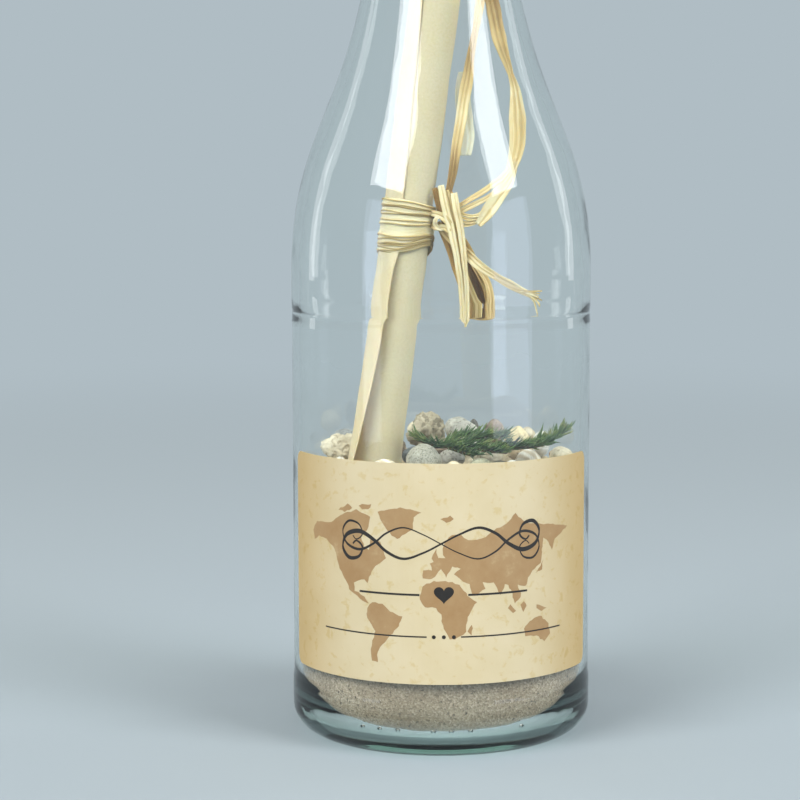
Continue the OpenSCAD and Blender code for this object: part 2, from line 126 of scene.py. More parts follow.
# Raffia: strips of dried palm leaf, tied round the letter with a knot, a tall loop, a low loop and tails.
# Each strand is a flat ribbon, pleated along its length, which twists, narrows and splits as it goes.
def raffia_finish(name, pale, straw, shade_ochre, alpha=1.0):
    """Dried leaf: fibres run along the strip, and painted shade darkens its folds and valleys to a deep
    ochre.
    """
    material = new_finish(name)
    place = add(material, "TexCoord")
    # u runs across the strip and v along it, in millimetres: the fibres are 0.3 mm wide
    fibres = add(material, "Mapping", {"Vector": place.outputs["UV"], "Scale": (3.2, 0.05, 1)})
    streak = add(material, "TexNoise", {"Vector": fibres.outputs[0], "Scale": 1, "Detail": 4,
                                        "Roughness": 0.6})
    blotch = add(material, "TexNoise", {"Vector": place.outputs["UV"], "Scale": 0.13, "Detail": 3})
    painted_shade = add(material, "Attribute", attribute_name="painted_shade")
    lines = add(material, "MapRange", {0: streak.outputs[0], 1: 0.3, 2: 0.7, 3: -0.11, 4: 0.13})
    marks = add(material, "MapRange", {0: blotch.outputs[0], 1: 0.3, 2: 0.7, 3: -0.12, 4: 0.12})
    both = add(material, "Math", {0: lines.outputs[0], 1: marks.outputs[0]}, operation="ADD")
    # The attribute adds painted shade, which takes the tone towards the ochre stop
    depth = add(material, "Math", {0: both.outputs[0], 1: painted_shade.outputs["Fac"]}, operation="ADD")
    tone = add(material, "ValToRGB", {"Fac": depth.outputs[0]}, [(0.0, pale), (0.28, straw), (0.95, shade_ochre)])
    rough = add(material, "MapRange", {0: streak.outputs[0], 1: 0.3, 2: 0.7, 3: 0.4, 4: 0.6})
    bump = add(material, "Bump", {"Height": streak.outputs[0], "Strength": 0.3, "Distance": 0.0002})
    shader = add(material, "BsdfPrincipled", {
        "Base Color": tone.outputs[0], "Roughness": rough.outputs[0], "Normal": bump.outputs[0],
        "Subsurface Weight": 0.3, "Subsurface Radius": (1.0, 0.6, 0.25), "Subsurface Scale": 0.001,
        "Alpha": alpha})
    add(material, "OutputMaterial", {"Surface": shader.outputs[0]})
    return material


def smooth_route(points, step=0.5):
    """Points about every half millimetre on a smooth curve, each with how far along the list it lies."""
    rows = [Vector(p) for p in points]
    rows = [2 * rows[0] - rows[1]] + rows + [2 * rows[-1] - rows[-2]]
    legs = len(rows) - 3
    made = []
    for i in range(1, legs + 1):
        a, b, c, d = rows[i - 1:i + 3]
        count = max(2, round((c - b).length / step))
        for k in range(count):
            t = k / count
            at = 0.5 * (2 * b + (c - a) * t + (2 * a - 5 * b + 4 * c - d) * t * t
                        + (3 * b - a - 3 * c + d) * t ** 3)
            made.append((at, (i - 1 + t) / legs))
    return made + [(rows[-2], 1.0)]


def along(values, t):
    """The value at share t of a list of evenly spaced values."""
    if len(values) == 1:
        return values[0]
    at = t * (len(values) - 1)
    i = min(int(at), len(values) - 2)
    return values[i] + (values[i + 1] - values[i]) * (at - i)


def join_rings(bm, rings, shift):
    """Joins rings of vertices into one closed strip, and caps its ends.

    Each vertex comes with its u and each ring with its v. A shift sets each strand apart on the UV map."""
    uv = bm.loops.layers.uv.verify()
    for (low, low_v), (high, high_v) in zip(rings, rings[1:]):
        for j in range(len(low)):
            k = (j + 1) % len(low)
            face = bm.faces.new((low[j][0], low[k][0], high[k][0], high[j][0]))
            corners = [(low[j][1], low_v), (low[k][1], low_v), (high[k][1], high_v), (high[j][1], high_v)]
            for corner, (u, v) in zip(face.loops, corners):
                corner[uv].uv = (u + shift, v)
    bm.faces.new([vert for vert, _ in rings[0][0][::-1]])
    bm.faces.new([vert for vert, _ in rings[-1][0]])


def ribbon(bm, route, widths, twists=(0,), aside=(0,), ahead=(0,), shade=(0,), pleats=(-0.3, 0.35),
           curl=0.1, thick=0.2, cut=0, seed=0):
    """Sweeps a flat, pleated strip along a route, in millimetres, and returns the route's points in metres.

    Lists run from one end to the other: width, twist in degrees, the shift across and outwards, and how much
    painted shade darkens it. A cut of 1 or -1 keeps one edge straight where the strip narrows to its end."""
    centres = smooth_route(route)
    painted_shade = bm.verts.layers.float.get("painted_shade") or bm.verts.layers.float.new("painted_shade")
    points = 18
    widest = max(widths)
    rings = []
    run = 0.0
    before = centres[0][0]
    for i, (centre, t) in enumerate(centres):
        way = (centres[min(i + 1, len(centres) - 1)][0] - centres[max(i - 1, 0)][0]).normalized()
        across = way.cross(Vector((0, 1, 0))).normalized()
        turn = Matrix.Rotation(math.radians(along(twists, t)), 3, way)
        across, out = turn @ across, turn @ way.cross(across)
        run += (centre - before).length
        before = centre
        width = along(widths, t) * (1 + 0.06 * noise.noise(Vector((run * 0.25, seed, 0))))
        shift = along(aside, t) + cut * (widest - width) / 2 * max(0, 4 * t - 3)
        middle = centre + across * shift + out * along(ahead, t)
        bend = curl * (0.6 + 0.8 * noise.noise(Vector((run * 0.06, seed, 9))))
        ring = []
        for j in range(points + 1):
            u = 2 * j / points - 1
            sway = 0.16 * noise.noise(Vector((run * 0.05, seed, 5)))
            fold = sum(math.exp(-((u - pleat - sway) / 0.19) ** 2) for pleat in pleats)
            wave = 0.08 * noise.noise(Vector((u * 1.8, run * 0.08, seed * 3.7)))
            height = width * (bend * (u * u - 0.4) - 0.07 * fold + wave)
            edge = thick * (0.35 if j in (0, points) else 0.5)
            # Painted shade: darker in the pleats' valleys, towards the edges and along the shade list
            tone = 0.3 * fold + 0.1 * abs(u) ** 3 + along(shade, t)
            ring.append((middle + across * (u * width / 2) + out * height, out * edge, u * width / 2, tone))
        loop = []
        for k, (at, lift, u, tone) in enumerate(ring + ring[::-1]):
            vert = bm.verts.new((at + lift * (1 if k <= points else -1)) * MM)
            vert[painted_shade] = tone
            loop.append((vert, u))
        rings.append((loop, run))
    join_rings(bm, rings, 17 * seed)
    return [centre * MM for centre, _ in centres]


straw = raffia_finish("raffia dried palm leaf", "#E8D8AE", "#D3B980", "#8E7036")
# A darker copy of the same finish, for the low loop: its colours hold painted shade
painted_shade_straw = raffia_finish("raffia dried palm leaf shaded", "#D8BF86", "#BC9A58", "#735526")

# The tall loop goes up into the shoulder and comes back to the knot, where it splits into a fan
TALL_LOOP = [
    (1, -8.6, 155), (2.4, -8, 160), (3.6, -7, 166), (4.8, -5.6, 174), (6.2, -4, 182), (7.4, -3, 190),
    (8.6, -2, 198), (10, -1, 206), (11.2, 0, 213), (12.4, 0.4, 218), (13.8, 0.3, 218.4), (15, -0.4, 213.4),
    (16.9, -1.7, 203.4), (20.2, -3, 193), (21.4, -4, 187.4), (21.9, -5, 180), (21.9, -6, 172.6),
    (20, -7.4, 165), (15.8, -8.5, 158.6), (11.4, -9.1, 154), (7, -9.5, 151.8)]
bm = bmesh.new()
# Its shade list paints shade on the lower left branch and on the crumpled top
tall_line = ribbon(
    bm, TALL_LOOP,
    [2.6, 2.8, 3, 3.2, 3.4, 3.4, 3.2, 2.8, 2.8, 3, 3.6, 4.2, 4.2, 2.2, 3.4, 4.6, 4.6, 3.2, 1.8, 1.6, 1.4],
    [50, 45, 30, 15, 10, 15, 40, 50, 20, -10, 10, 20, 10, 50, 20, 5, 10, 30, 10, 0, 0],
    aside=[0] * 17 + [0, 0.6, 1, 1],
    shade=[0.9, 0.9, 0.7, 0.25, 0.05, 0.2, 0.6, 0.4, 0.2, 0.6, 0.9, 0.7, 0.3, 0.2] + [0.08] * 4 + [0.25] * 3,
    seed=1)
# Below the bend it splits: two thin strands run to the knot, a wide pale one curls down past it, and
# four fine fibres turn back from its end
upper = [(21.4, -6.8, 169), (18, -7.8, 163.6), (14.6, -8.4, 161), (10, -8.8, 158), (5.4, -9, 155.2),
         (2.4, -9.2, 153.6)]
ribbon(bm, upper, [1, 1.7, 1.7, 1.4, 1.2], [30, 20, 0], shade=[0.2, 0.15, 0.5], pleats=(0,), seed=11)
lower = [(20.4, -7.4, 165), (15.4, -8.4, 159), (10.6, -8.8, 156), (6, -9, 153.8), (3, -9.2, 152.6)]
ribbon(bm, lower, [1, 1.4, 1.6, 1.4], [20, 10, 0], ahead=[0.3], shade=[0.2, 0.1, 0.5], pleats=(0,), seed=12)
wide = [(22, -6.8, 168), (19.4, -7.8, 162), (16.2, -8.8, 157.4), (13.2, -9.4, 153.4), (10.6, -9.8, 149.8)]
ribbon(bm, wide, [2, 3.4, 4.2, 4, 2], [40, 20, 10, 0, 0], ahead=[0.4], seed=13, curl=0.14, pleats=(0.2,))
for k in range(4):
    curl_end = [(12.8 - 0.6 * k, -9.6, 152.8 - 0.6 * k), (10.6 - 0.9 * k, -10, 152.6 - 0.9 * k),
                (8.6 - 0.9 * k, -10.2, 152.4 - 0.9 * k), (5.4 - 0.4 * k, -9.8, 153 - 0.8 * k)]
    ribbon(bm, curl_end, [1.2, 1.1, 0.9, 0.8], [0, 30, 0], shade=[0, 0.15, 0.3], seed=14 + k, pleats=(0,),
           thick=0.14)
tall_loop = make_piece("tall_loop_strand", bm, straw, "message", "raffia", "raffia_tall_loop")
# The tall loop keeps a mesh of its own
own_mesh(tall_loop)

# The low loop is a flat band of three strands that turns back on itself
BOW_LOOP = [
    (0.6, -8.6, 150), (2.4, -8, 145.6), (4.2, -7.8, 140.6), (6, -7.8, 135.6), (7.8, -7.8, 131),
    (9.8, -7.8, 127), (12.6, -7.6, 125), (14.6, -7, 127), (14.2, -6, 131.4), (12.4, -5.2, 135.8),
    (10.2, -4.8, 139.6), (7.6, -4.8, 143.6), (4.8, -5.4, 147.4), (2.2, -6.6, 150.6)]
bm = bmesh.new()
bow_line = ribbon(bm, BOW_LOOP, [2.6, 3.4, 3.8, 3.4, 2.8, 2.6, 2.8, 2.6], [0, 0, 5, 15, 30, 20, 5, 0],
                  aside=[0, -0.3, -0.4, 0, 0.4, 0.7, 0.5, 0], shade=[0.5, 0.3, 0.1, 0, 0.1, 0.3], seed=2)
ribbon(bm, BOW_LOOP, [1.2, 1.6, 1.5, 1.4], [10, 20, 40, 30], aside=[-1.4, -1.6, -1.4, 1, 1.9, 1.6, 0.4],
       ahead=[-0.5, -0.5, 0.4], shade=[0.4, 0.1, 0.3], seed=21, pleats=(0,))
ribbon(bm, BOW_LOOP, [1, 1.5, 1.5, 1.2], [0, 10, 50, 20], aside=[0.8, 1.1, 1, 1.2, 1.4, 1.2, 0.6],
       ahead=[0.6, 0.5, -0.4], shade=[0, 0, 0.2], seed=22, pleats=(0,))
# The back of the folded band shows through the loop, brown with painted shade
for k, back in enumerate([
        [(2.6, -6.4, 146.6), (6, -5.8, 139.6), (9.4, -5.4, 132), (11.6, -5.6, 126.8)],
        [(4.4, -5.6, 145.6), (9, -5, 137.8), (12, -5, 131), (13.2, -5.6, 127)]]):
    ribbon(bm, back, [1.6, 2.8 - 0.6 * k, 3.2 - 0.8 * k, 2.4 - 0.6 * k], [0, 0, 0], seed=23 + k,
           shade=[0.8 - 0.3 * k, 0.7 - 0.3 * k, 0.9 - 0.3 * k])
bow_loop = make_piece("bow_loop_strand", bm, painted_shade_straw, "message", "raffia", "raffia_bow_loop")

# The long tail is the widest: three strands side by side that close up to a point cut with scissors
LONG_TAIL = [
    (2, -10.2, 158.4), (2.9, -10.8, 154), (3.9, -11, 150), (4.7, -11.2, 146), (5.4, -11.4, 142),
    (6, -11.4, 138), (6.5, -11.4, 134), (6.8, -11.2, 129), (7, -11, 124), (7.2, -10.8, 118.2)]
bm = bmesh.new()
tail_line = ribbon(bm, LONG_TAIL, [2, 2.2, 2.2, 2, 1.8, 1.6, 1.5, 1.5, 1.5, 0.5], [5, 0, -8, 0],
                   aside=[1.7, 1.4, 1.1, 0.8, 0.6, 0.6, 0.6], pleats=(0,), curl=0.18, cut=-1, seed=3)
middle = [(1.6, -10, 159.6)] + LONG_TAIL[1:]
ribbon(bm, middle, [1.6, 1.8, 1.8, 1.6, 1.4, 1.3, 1.2, 1.1, 1, 0.4], [-10, 5, 10, 0],
       aside=[-0.1, 0, 0], ahead=[-0.3], shade=[0.25, 0.2, 0.1], pleats=(0,), seed=31)
short_edge = [(1, -10, 161.2), (2.2, -10.6, 156)] + LONG_TAIL[2:9] + [(6.9, -10.9, 120)]
ribbon(bm, short_edge, [1.7, 2, 2, 1.9, 1.7, 1.6, 1.5, 1.4, 1.3, 0.4], [0, -5, 5, 0],
       aside=[-0.9, -1.5, -1.5, -1.3, -1.1, -0.9, -0.8], ahead=[0.3], pleats=(0.1,), curl=0.16, cut=1,
       seed=32)
long_tail = make_piece("long_tail_strand", bm, straw, "message", "raffia", "raffia_long_tail")

# The frayed tail ends in six split fibres
FRAYED_TAIL = [
    (-1, -10, 150.4), (1.2, -9.8, 147.6), (4, -9.5, 144.4), (7.6, -10, 141.4), (11, -11.4, 138.6),
    (15.6, -13.2, 135.4), (21, -15, 132.2), (27.4, -16.2, 129)]
bm = bmesh.new()
frayed_line = ribbon(bm, FRAYED_TAIL, [1.8, 2.2, 2.4, 2.9, 2.9, 2.5, 2.3, 1.4], [10, 0, 10, 20, 0],
                     shade=[0.4, 0.3, 0.1, 0, 0, 0, 0.1], seed=4)
for k in range(6):
    spread = (k - 2.5) * 0.55
    split = FRAYED_TAIL[5:7] + [(24.8, -16 - 0.2 * (k % 2), 130.4 + spread * 0.7),
                                (27.4 + 0.6 * (k % 3), -16.3 - 0.4 * (k % 2), 128.9 + spread * 1.6)]
    ribbon(bm, split, [0.5, 0.8, 0.7, 0.35], aside=[-spread * 0.6, -spread * 0.5, 0], shade=[0.2 * (k % 3)],
           pleats=(), thick=0.16, seed=41 + k)
frayed_tail = make_piece("frayed_tail_strand", bm, straw, "message", "raffia", "raffia_frayed_tail")

# A stray strip of the outer skin, thin as tissue, hangs behind the tall loop
STRAY_STRIP = [(6.2, -2.2, 193.4), (6.3, -2.3, 187.4), (6.9, -2.7, 181), (7.5, -3.5, 175), (7.7, -4.3, 169.6)]
bm = bmesh.new()
ribbon(bm, STRAY_STRIP, [2.4, 4.4, 4.8, 4.6, 3.6], [0, -10, 0, 10], seed=5, thick=0.12, pleats=(0.4,),
       curl=0.05, cut=-1)
skin = raffia_finish("raffia outer skin, thin as tissue", "#F0EACD", "#E6DCB6", "#D2B98A", alpha=0.6)
make_piece("stray_flag_strand", bm, skin, "message", "raffia", "raffia_stray_strip")

# The letter's own frame: its axis leans back and to the right, and its foot stands on the sand
FOOT = Vector((-20, -9.6, 72.8))
ROLL_WAY = Vector((0.13, 0.07, 1)).normalized()
ROLL_SIDE = Vector((0, 1, 0)).cross(ROLL_WAY).normalized()
ROLL_BACK = ROLL_WAY.cross(ROLL_SIDE)
ROLL_R, ROLL_L = 7.5, 148


def of_roll(r, turn, z):
    """A point near the letter, from its distance from the roll's axis, its angle and its height."""
    return FOOT + ROLL_SIDE * (r * math.cos(turn)) + ROLL_BACK * (r * math.sin(turn)) + ROLL_WAY * z


# The wound band is one flat strand in six turns, with two thin fibres. Each lap lies over the one below,
# and it moves up at the back: LAP_FOOT and LAP_WIDTH are each lap's lower edge and width.
WRAP_FROM, WRAP_TURNS, WRAP_STEPS = 69.2, 6, 72
LAP_FOOT = [0, 1.2, 2.7, 8.2, 10.5, 12.6, 12.8]
LAP_WIDTH = [3, 3, 6.2, 3.4, 3, 2.4, 2.4]
KNOT = Vector((-0.2, -9.8, 152.4))
KNOT_Z = (KNOT - FOOT).dot(ROLL_WAY)
bm = bmesh.new()
bm.loops.layers.uv.verify()
painted_shade = bm.verts.layers.float.new("painted_shade")
for strand, (share, slim, lift) in enumerate([(0.5, 1, 0.0), (0.85, 0.15, 0.3), (0.3, 0.1, 0.3)]):
    rings = []
    for i in range(WRAP_TURNS * WRAP_STEPS + 1):
        turn = 2 * math.pi * i / WRAP_STEPS
        lap, part = divmod(i / WRAP_STEPS, 1)
        k = min(int(lap), WRAP_TURNS - 1)
        rise = min(1, max(0, (part - 0.02) / 0.42))
        rise = rise * rise * (3 - 2 * rise)
        foot = LAP_FOOT[max(k - 1, 0)] + (LAP_FOOT[k] - LAP_FOOT[max(k - 1, 0)]) * rise
        broad = LAP_WIDTH[max(k - 1, 0)] + (LAP_WIDTH[k] - LAP_WIDTH[max(k - 1, 0)]) * rise
        sway = noise.noise(Vector((math.cos(turn), math.sin(turn), i * 0.024 + 5 * strand)))
        z = WRAP_FROM + foot + broad * share + 0.6 * sway
        # On the side of the knot the turns gather and stand off a little
        near = max(0, math.cos(turn + 0.5)) ** 3
        z += (KNOT_Z - z) * 0.25 * near
        w = broad * slim * (1 + 0.12 * noise.noise(Vector((i * 0.02, strand, 3)))) * (1 - 0.3 * near)
        loop = []
        for j in range(15):
            u = j / 7 - 1
            wave = 0.07 * noise.noise(Vector((u * 2.5, i * 0.035, strand)))
            wave += 0.03 * math.sin(9 * u + 0.02 * i)
            r = ROLL_R + 0.1 + lift + 0.05 * lap + 0.1 * (1 - u) + wave + 0.5 * near
            # Painted shade: a dark line along each lap's lower edge, where it lies over the lap below, and a
            # little more beside the knot
            low_edge = max(0, 1 - (1 + u) * w / 0.9)
            loop.append((r, z + u * w / 2, u * w / 2, 0.8 * low_edge + 0.15 * near))
        below = [(r - 0.14, at, u, tone) for r, at, u, tone in reversed(loop)]
        ring = []
        for r, at, u, tone in loop + below:
            vert = bm.verts.new(of_roll(r, turn, at) * MM)
            vert[painted_shade] = tone
            ring.append((vert, u))
        rings.append((ring[::-1], ROLL_R * turn))
    join_rings(bm, rings, 11 * strand)
bmesh.ops.recalc_face_normals(bm, faces=bm.faces)
make_piece("wound_band", bm, straw, "message", "raffia", "raffia_wrap")

# The knot: a fold that carries the long tail, a small round eye below it, and two strips pulled tight
bm = bmesh.new()
eye = [KNOT + Vector((0.5 + 1.9 * math.cos(a), -0.8 + 0.3 * math.sin(2 * a), -2 + 1.7 * math.sin(a)))
       for a in [2 * math.pi * i / 12 for i in range(13)]]
ribbon(bm, eye, [1.3, 1.1, 1.4, 1.1, 1.3], [20, 60, 20, -20, 20], seed=6, pleats=(0,), curl=0.2)
# Two strips in painted shade, brown: the fold's inner side, and the gap behind the middle strip
shaded = [(-1.7, -9, 160.2), (-0.7, -9.3, 157), (0.3, -9.5, 153.6), (1.4, -9.6, 150)]
ribbon(bm, shaded, [1.6, 2.2, 2.4, 2], [0, 0, 0], seed=7, shade=[0.9, 1, 0.9])
behind = [(2.4, -9.4, 159), (2.7, -9.7, 156), (3.2, -10, 152.4)]
ribbon(bm, behind, [2, 2.4, 2], [0, 0, 0], seed=71, shade=[0.6, 0.9, 0.5])
pull = [(-3, 1.2, 0.6), (-1.4, -0.2, 0.4), (0.4, -1.2, -0.2), (1.8, -1.5, -1.4), (2.8, -1.4, -3)]
ribbon(bm, [KNOT + Vector(at) for at in pull], [1.6, 2, 1.8], seed=8, pleats=(0,), shade=[0, 0.1, 0.3])
tight = [(-2.8, 1.2, -2.6), (-1, 0, -3.4), (1, -1.2, -3.2), (2.6, -1.8, -4.4)]
ribbon(bm, [KNOT + Vector(at) for at in tight], [1.4, 1.6, 1.4], seed=81, pleats=(0,), shade=[0.4, 0.1, 0.3])
bmesh.ops.recalc_face_normals(bm, faces=bm.faces)
make_piece("tied_knot", bm, straw, "message", "raffia", "raffia_knot")


# The letter: one A5 sheet of cream writing paper, rolled up tight round a finger.
# Its free edge runs slantwise over the front and curls away from the roll at the foot.
paper = new_finish("cream laid writing paper")
place = add(paper, "TexCoord")
# Cloudy fibres 1 to 20 mm long, as in paper held to the light, and a fine tooth that dulls it
fibre = add(paper, "TexNoise", {"Vector": place.outputs["UV"], "Scale": 1.2, "Detail": 6, "Roughness": 0.6})
cloud = add(paper, "TexNoise", {"Vector": place.outputs["UV"], "Scale": 0.045, "Detail": 3})
tone = add(paper, "ValToRGB", {"Fac": cloud.outputs[0]}, [(0.3, "#DBC39A"), (0.7, "#E2CDA9")])
fleck = add(paper, "ValToRGB", {"Fac": fibre.outputs[0]}, [(0.3, "#E6DBB8"), (0.6, "#FFFFFF")])
paper_colour = add(paper, "Mix", {0: 0.3, 6: tone.outputs[0], 7: fleck.outputs[0]},
                   data_type="RGBA", blend_type="MULTIPLY")
bump = add(paper, "Bump", {"Height": fibre.outputs[0], "Strength": 0.2, "Distance": 0.0001})
shader = add(paper, "BsdfPrincipled", {
    "Base Color": paper_colour.outputs[2], "Roughness": 0.6, "Normal": bump.outputs[0],
    "Subsurface Weight": 0.4, "Subsurface Radius": (1.0, 0.55, 0.2), "Subsurface Scale": 0.002})
add(paper, "OutputMaterial", {"Surface": shader.outputs[0]})


def lay_uv(bm, rule):
    """Gives each corner of the faces its place on the UV map, worked out from its vertex."""
    uv = bm.loops.layers.uv.verify()
    for face in bm.faces:
        for corner in face.loops:
            corner[uv].uv = rule(corner.vert.co)


PAPER_W, PAPER_TURNS, PAPER_PITCH, PAPER_T = 165, 3.5, 0.55, 0.2
# The free edge's angle at the foot, and the heights where the flap ends, the tie draws it in and it slants
EDGE_TURN, FLAP_TOP, TIE_FOOT, TIE_TOP, SLANT_FROM = 263, 67, 65, 76, 87
bm = bmesh.new()
bmesh.ops.create_grid(bm, x_segments=280, y_segments=84, size=0.5, calc_uvs=False)
lay_uv(bm, lambda co: ((co.x + 0.5) * PAPER_W, (co.y + 0.5) * ROLL_L))
for v in bm.verts:
    t = v.co.x + 0.5
    z = (v.co.y + 0.5) * ROLL_L
    # Below the raffia the free end of the sheet stands off, wider and flatter the nearer it is to the foot
    low = max(0, 1 - z / FLAP_TOP)
    tied = min(1, max(0, (z - TIE_FOOT) / 6))
    flap = 1.2 + 0.7 * low ** 1.2
    bend = 0.7 - 0.28 * low + 0.28 * tied
    past_tie = min(1, max(0, (z - TIE_TOP) / 10))
    edge = math.radians(EDGE_TURN - 7 * past_tie - 0.26 * max(0, z - SLANT_FROM))
    back = 2 * math.pi * PAPER_TURNS * t
    turn = edge - max(back, flap)
    r = ROLL_R - PAPER_T / 2 - PAPER_PITCH * PAPER_TURNS * t
    r += 0.08 * noise.noise(Vector((math.cos(turn), math.sin(turn), z * 0.02)))
    aside, behind = r * math.cos(turn), r * math.sin(turn)
    if back < flap:
        end = turn + bend * (flap - back)
        aside += r / bend * (math.cos(end) - math.cos(turn))
        behind += r / bend * (math.sin(end) - math.sin(turn))
    slip = 0.35 * math.sin(1.7 * t * PAPER_TURNS) * min(1, z / 20, (ROLL_L - z) / 20)
    v.co = (FOOT + ROLL_SIDE * aside + ROLL_BACK * behind + ROLL_WAY * (z + slip)) * MM
bmesh.ops.recalc_face_normals(bm, faces=bm.faces)
letter = make_piece("rolled_letter", bm, paper, "message", "letter_paper", "letter_roll")
wall = letter.modifiers.new("paper thickness", "SOLIDIFY")
wall.thickness = PAPER_T * MM
wall.offset = 0


# The bottle: one litre of clear soda-lime glass, blown into a mould: crisp outside and a little wavy inside.
# It has a thick green heel, a hollow base, a faint ring over the label panel and a rounded lip.
BODY_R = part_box("bottle")[1].x / MM
GLASS_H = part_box("bottle")[1].z / MM
NECK_R, LIP_R, LIP_H, EDGE_R = 19, 21.5, 10, 1.5
WALL, PANEL_DROP, HEEL_R, CORNER_W, CORNER_H = 2.75, 0.3, 8, 8, 15
SHOULDER_Z, SHOULDER_R, SWEEP_R = 137, 104, 175
FLOOR_Z, FLOOR_RISE, PUSH_UP = 4.4, 3.5, 4.5
LEAN = math.degrees(math.acos(1 - (BODY_R - NECK_R) / (SHOULDER_R + SWEEP_R)))
NECK_Z = SHOULDER_Z + (SHOULDER_R + SWEEP_R) * math.sin(math.radians(LEAN))
PANEL_R = BODY_R - PANEL_DROP
INNER_R = BODY_R - WALL
FLOOR_R = INNER_R - CORNER_W
STAND_R = BODY_R - HEEL_R - 3.25
RING_Z, AROUND = 122.5, 240


def arc(r, z, radius, start, end, steps):
    """Points on an arc of the outline, as distance from the axis and height."""
    turns = [math.radians(start + (end - start) * i / steps) for i in range(steps + 1)]
    return [(r + radius * math.cos(a), z + radius * math.sin(a)) for a in turns]


def straight(r, low, high, step):
    """Points on an upright line, about a step apart."""
    count = max(1, round(abs(high - low) / step))
    return [(r, low + (high - low) * i / count) for i in range(count + 1)]


def spun(outline, steps=AROUND):
    """A bmesh of an outline turned once round the bottle's axis."""
    made = bmesh.new()
    ring = [made.verts.new((r * MM, 0, z * MM)) for r, z in outline]
    edges = [made.edges.new(pair) for pair in zip(ring, ring[1:])]
    bmesh.ops.spin(made, geom=ring + edges, cent=(0, 0, 0), axis=(0, 0, 1), angle=2 * math.pi,
                   steps=steps, use_merge=True, use_duplicate=False)
    bmesh.ops.remove_doubles(made, verts=made.verts, dist=1e-6)
    return made


def eased(outline):
    """Lets the bends of an outline run into each other, by drawing each point towards its neighbours."""
    for _ in range(36):
        drawn = [((a[0] + 2 * b[0] + c[0]) / 4, (a[1] + 2 * b[1] + c[1]) / 4)
                 for a, b, c in zip(outline, outline[1:], outline[2:])]
        outline = [outline[0]] + drawn + [outline[-1]]
    return outline


def foot_curve(gap, corner_steps, floor_steps):
    """The inside's oval corner and its floor, which rises to the middle, a gap clear of the glass."""
    made = []
    for i in range(corner_steps + 1):
        turn = math.pi / 2 * i / corner_steps
        made.append((FLOOR_R + (CORNER_W - gap) * math.cos(turn),
                     FLOOR_Z + gap + (CORNER_H - gap) * (1 - math.sin(turn))))
    for i in range(1, floor_steps + 1):
        out = 1 - i / floor_steps
        made.append((FLOOR_R * out, FLOOR_Z + gap + FLOOR_RISE * (1 - out ** 2)))
    return made


outside = [(STAND_R * i / 14, PUSH_UP * (1 - (i / 14) ** 2)) for i in range(15)]
outside += arc(BODY_R - HEEL_R, HEEL_R, HEEL_R, -90, 0, 20)
outside += [(BODY_R, 15.4), (BODY_R - 0.08, 16.3), (PANEL_R + 0.06, 17.1), (PANEL_R, 18)]
outside += straight(PANEL_R, 20, 120, 4)
outside += [(PANEL_R, RING_Z - 0.25), (PANEL_R - 0.05, RING_Z), (PANEL_R - 0.1, RING_Z + 1.2)]
outside += [(PANEL_R - 0.16, RING_Z + 2.4), (PANEL_R - 0.1, RING_Z + 2.55)]
outside += [(PANEL_R + 0.02, RING_Z + 2.8)]
# The shoulder swells out of the panel and is two arcs, a convex one and then a hollow one up to the neck
shoulder = [(PANEL_R + 0.12, 129), (PANEL_R + 0.22, 132.4), (BODY_R, SHOULDER_Z - 1)]
shoulder += arc(BODY_R - SHOULDER_R, SHOULDER_Z, SHOULDER_R, 0, LEAN, 30)
shoulder += arc(NECK_R + SWEEP_R, NECK_Z, SWEEP_R, 180 + LEAN, 180, 44)[1:]
outside += eased(shoulder)
outside += [(NECK_R, GLASS_H - LIP_H - 1), (NECK_R + 0.4, GLASS_H - LIP_H - 0.2)]
outside += arc(LIP_R - EDGE_R, GLASS_H - LIP_H + EDGE_R, EDGE_R, -90, 0, 8)
outside += arc(LIP_R - EDGE_R, GLASS_H - EDGE_R, EDGE_R, 0, 90, 8)
inside = arc(NECK_R - WALL + EDGE_R, GLASS_H - EDGE_R, EDGE_R, 90, 180, 8)
shoulder = arc(NECK_R + SWEEP_R, NECK_Z, SWEEP_R + WALL, 180, 180 + LEAN, 44)
shoulder += arc(BODY_R - SHOULDER_R, SHOULDER_Z, SHOULDER_R - WALL, LEAN, 0, 30)[1:]
inside += eased(shoulder)
inside += straight(INNER_R, SHOULDER_Z - 2, FLOOR_Z + CORNER_H + 2, 3)
inside += foot_curve(0, 30, 12)

# Inside, the glass is a little wavy from WAVES_FROM upwards, and ripples gently where it bends to the floor
WAVES_FROM, WAVES_R, WAVE_DEPTH = 26, 20, 0.09
RIPPLE_TOP, RIPPLE_R, RIPPLE_DEPTH = 18, FLOOR_R + 3, 0.06
outer = spun(outside)
inner = spun(inside)
for v in inner.verts:
    at = v.co / MM
    r = math.hypot(at.x, at.y)
    if at.z > WAVES_FROM and r > WAVES_R:
        ease = min(1, (at.z - WAVES_FROM) / 12) * min(1, (r - WAVES_R) / 6)
        swell = WAVE_DEPTH * ease * (1 + noise.noise(at * 0.05) + 0.5 * noise.noise(at * 0.16))
        v.co.xy *= 1 + swell / r
    elif at.z < RIPPLE_TOP and r > RIPPLE_R:
        turn = math.atan2(at.y, at.x)
        ease = math.sin(math.pi * min(1, (r - RIPPLE_R) / (INNER_R - RIPPLE_R)))
        there = Vector((math.cos(turn) * 9, math.sin(turn) * 9, at.z * 0.3))
        ripple = RIPPLE_DEPTH * ease * (1 + noise.noise(there))
        v.co.xy *= 1 + ripple / r
        v.co.z -= 0.8 * ripple * MM
mesh = bpy.data.meshes.new("inner wall")
inner.to_mesh(mesh)
inner.free()
outer.from_mesh(mesh)
bpy.data.meshes.remove(mesh)
bmesh.ops.remove_doubles(outer, verts=outer.verts, dist=1e-6)
bmesh.ops.recalc_face_normals(outer, faces=outer.faces)
